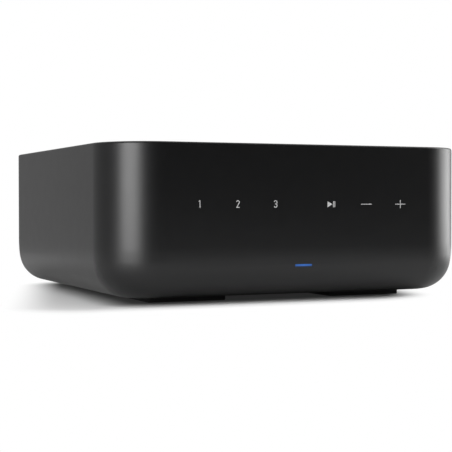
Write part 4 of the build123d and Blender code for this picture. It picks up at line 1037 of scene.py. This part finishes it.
class AMPLIFIER_OT_stage(Operator):
    """Sets up the camera, the studio world, three lamps and the pale floor"""

    bl_idname = "amplifier.stage"
    bl_label = "Stage"

    def execute(self, context):
        stage = context.scene.amplifier_stage
        context.scene.view_settings.view_transform = "Standard"
        set_camera(stage)
        set_world(stage)
        add_softbox("overhead_softbox", (0.0, 0.1, 1.4), (0, 0, -1), (2.2, 2.0), stage.top_glow)
        painted_pools = []
        for name, heading, size, glow, share in (
            ("left_softbox", radians(-127), (0.5, 0.5), stage.left_glow, stage.left_painted_pool),
            ("right_softbox", radians(95), (0.69, 1.3), stage.right_glow, stage.right_painted_pool),
        ):
            facing = Vector((-sin(heading), -cos(heading), 0))
            place = Vector((0, 0, size[1] / 2)) - softbox_distance * facing
            add_softbox(name, place, facing, size, glow)
            # Painted pool of light on the floor before this softbox, seen in gloss
            painted_pools.append((-facing, atan2(size[0] / 2, softbox_distance), glow * share))
        set_floor(stage, painted_pools)
        return {"FINISHED"}


class AMPLIFIER_OT_finishes(Operator):
    """Gives every CAD node the finish of what it is made of"""

    bl_idname = "amplifier.finishes"
    bl_label = "Finishes"

    def execute(self, context):
        for make, nodes in NODE_FINISHES.items():
            self.dress(make(), nodes)
        for make, name, code, nodes in (
            (core_plastic, "white_core", "#D8D8D3", "line_left_body"),
            (core_plastic, "red_core", "#A81720", "line_right_body"),
            (core_plastic, "black_core", "#161617", "subwoofer_body"),
            (cap_plastic, "black_cap", "#131314", "left_negative_cap right_negative_cap"),
            (cap_plastic, "red_cap", "#A3141C", "left_positive_cap right_positive_cap"),
            (wire_cover, "black_cover", "#141415", "aerial_leads"),
            (wire_cover, "brown_cover", "#4A2A18", "mains_leads speaker_leads"),
        ):
            self.dress(make(name, code), nodes)
        return {"FINISHED"}

    def dress(self, material, nodes):
        for node in nodes.split():
            mesh = frame["nodes"][node].data
            mesh.materials.clear()
            mesh.materials.append(material)


class AMPLIFIER_OT_housing(Operator):
    """Works over the tub and the cover: welded, smooth, with a rounded rim at the bay's mouth"""

    bl_idname = "amplifier.housing"
    bl_label = "Housing"

    def execute(self, context):
        tub = worked_copy("body_shell", "moulded_tub")
        open_mesh(tub, "EDGE")
        select(tub, "EDGE", self.at_mouth)
        width = context.scene.amplifier_housing.rim_break
        bpy.ops.mesh.bevel(offset=width, segments=3, affect="EDGES", clamp_overlap=False)
        close_mesh()
        smooth(tub)
        finished(tub, "spark_eroded_abs", "housing_plastic", "body_shell")
        worked_node("top_cover", "spark_eroded_abs", "cover_plastic")
        return {"FINISHED"}

    def at_mouth(self, edge):
        """Whether an edge is a sharp one of the rear wall's outer face, below the rim."""
        back_y, rim_z = cad_high.y - 5 * mm, cad_high.z - 10 * mm
        behind = min(vertex.co.y for vertex in edge.verts) > back_y
        below = max(vertex.co.z for vertex in edge.verts) < rim_z
        return behind and below and len(edge.link_faces) == 2 and edge.calc_face_angle() > radians(40)


class AMPLIFIER_OT_feet(Operator):
    """Models the rubber feet: tapered pads with a rounded, sunk sole"""

    bl_idname = "amplifier.feet"
    bl_label = "Feet"

    def execute(self, context):
        low, high, centre = extent(FEET[0])
        model = foot_model(context.scene.amplifier_housing, low, high)
        for name in FEET:
            twin = copy_of(model, extent(name)[2] - centre)
            finished(twin, "moulded_epdm", "foot_rubber", name).name = name + "_moulded"
        bpy.data.objects.remove(model)
        return {"FINISHED"}


class AMPLIFIER_OT_key_marks(Operator):
    """Models the printed marks on the front: digits 1 to 3, play and pause, minus and plus"""

    bl_idname = "amplifier.key_marks"
    bl_label = "Key marks"

    def execute(self, context):
        settings = context.scene.amplifier_front
        _, high, centre = extent("touch_pads")
        last = high.x - settings.key_inset
        keys = [side * (last - step * settings.key_pitch) for side in (-1, 1) for step in range(3)]
        y, z = cad_low.y - ink_height, centre.z + settings.ink_rise
        for x, make in zip(keys, (mark_one, mark_two, mark_three, mark_plus, mark_minus, mark_play)):
            mark = make(settings)
            mark.location = (x - settings.ink_left, y, z)
            finished(mark, "screen_print_ink")
        return {"FINISHED"}


class AMPLIFIER_OT_light_bar(Operator):
    """Works over the status light: a frosted bar, its edges just broken"""

    bl_idname = "amplifier.light_bar"
    bl_label = "Light bar"

    def execute(self, context):
        worked_node("light_guide", "lit_acrylic", "light_acrylic", edge=0.06 * mm)
        return {"FINISHED"}


class AMPLIFIER_OT_rear_panel(Operator):
    """Works over the steel panel, models its four screws and prints the polarity signs"""

    bl_idname = "amplifier.rear_panel"
    bl_label = "Rear panel"

    def execute(self, context):
        settings = context.scene.amplifier_rear
        worked_node("rear_panel", "powder_coated_steel", "panel_steel")
        add_panel_screws(settings)
        print_polarity(settings)
        return {"FINISHED"}


class AMPLIFIER_OT_power(Operator):
    """Works over the mains inlet and the switch, and prints the rocker's signs"""

    bl_idname = "amplifier.power"
    bl_label = "Power inlet and switch"

    def execute(self, context):
        settings = context.scene.amplifier_rear
        edge = settings.edge_break
        worked_node("mains_inlet", *PBT, edge=edge)
        worked_node("mains_pins", "bright_nickel", "pin_nickel")
        worked_node("switch_frame", *PBT, edge=edge)
        rocker = worked_node("switch_rocker", *PBT, "switch_rocker", edge)
        print_rocker(settings, rocker)
        return {"FINISHED"}


class AMPLIFIER_OT_sockets(Operator):
    """Works over the low-level sockets and adds their rings, windows and contacts"""

    bl_idname = "amplifier.sockets"
    bl_label = "Sockets"

    def execute(self, context):
        settings = context.scene.amplifier_rear
        edge = settings.edge_break
        for node in ("ethernet_socket", "optical_socket"):
            worked_node(node, *PBT, edge=edge)
        worked_node("optical_shutter", *PBT, "optical_shutter", 0.1 * mm)
        worked_node("jack_sockets", *PBT, edge=edge)
        for node in ("usb_socket", "video_socket"):
            worked_node(node, "tinned_sheet", "shell_steel", edge=thin_edge)
        for node, count in (("usb_tongue", 4), ("video_tongue", 9)):
            tongue = worked_node(node, *PBT, edge=thin_edge)
            add_tongue_contacts(tongue, node, count)
        worked_node("phono_sleeves", "gold_flash", "phono_gold", edge=turned_edge)
        for node, colour in (("line_left", "white"), ("line_right", "red"), ("subwoofer", "black")):
            worked_node(node + "_body", colour + "_core", "phono_" + colour, edge=turned_edge)
        add_rings()
        add_windows()
        worked_node("setup_button", "grey_key_plastic", "button_grey", "setup_button", 0.2 * mm)
        return {"FINISHED"}


class AMPLIFIER_OT_terminals(Operator):
    """Works over the loudspeaker terminals: stems, bases, washers and fluted caps"""

    bl_idname = "amplifier.terminals"
    bl_label = "Loudspeaker terminals"

    def execute(self, context):
        edge = context.scene.amplifier_rear.edge_break
        worked_node("post_stems", "gold_flash", "terminal_gold", edge=turned_edge)
        worked_node("post_bases", "moulded_pbt", "cap_black")
        for name in TERMINALS:
            tone = "red" if "positive" in name else "black"
            washer, cap = name + "_washer", name + "_cap"
            worked_node(washer, "gold_flash", "terminal_gold", washer, turned_edge)
            worked_node(cap, tone + "_cap", "cap_" + tone, cap, edge)
        return {"FINISHED"}


class AMPLIFIER_PT_panel(Panel):
    """Lists the amplifier's steps in the sidebar"""

    bl_label = "Streaming Amplifier"
    bl_idname = "AMPLIFIER_PT_panel"
    bl_space_type = "VIEW_3D"
    bl_region_type = "UI"
    bl_category = "Amplifier"

    def draw(self, context):
        for step in STEPS:
            self.layout.operator(step.bl_idname)


STEPS = (
    AMPLIFIER_OT_stage,
    AMPLIFIER_OT_finishes,
    AMPLIFIER_OT_housing,
    AMPLIFIER_OT_feet,
    AMPLIFIER_OT_key_marks,
    AMPLIFIER_OT_light_bar,
    AMPLIFIER_OT_rear_panel,
    AMPLIFIER_OT_power,
    AMPLIFIER_OT_sockets,
    AMPLIFIER_OT_terminals,
)
SETTINGS = {
    "amplifier_stage": StageSettings,
    "amplifier_housing": HousingSettings,
    "amplifier_front": FrontSettings,
    "amplifier_rear": RearSettings,
}


def register():
    """Registers the settings, the steps and the panel."""
    for name, settings in SETTINGS.items():
        bpy.utils.register_class(settings)
        setattr(bpy.types.Scene, name, PointerProperty(type=settings))
    for step in STEPS:
        bpy.utils.register_class(step)
    bpy.utils.register_class(AMPLIFIER_PT_panel)


def unregister():
    """Removes what register added."""
    bpy.utils.unregister_class(AMPLIFIER_PT_panel)
    for step in reversed(STEPS):
        bpy.utils.unregister_class(step)
    for name, settings in SETTINGS.items():
        delattr(bpy.types.Scene, name)
        bpy.utils.unregister_class(settings)


def main():
    """Makes the whole scene."""
    register()
    bpy.ops.amplifier.stage()
    bpy.ops.amplifier.finishes()
    bpy.ops.amplifier.housing()
    bpy.ops.amplifier.feet()
    bpy.ops.amplifier.key_marks()
    bpy.ops.amplifier.light_bar()
    bpy.ops.amplifier.rear_panel()
    bpy.ops.amplifier.power()
    bpy.ops.amplifier.sockets()
    bpy.ops.amplifier.terminals()


if __name__ == "__main__":
    main()
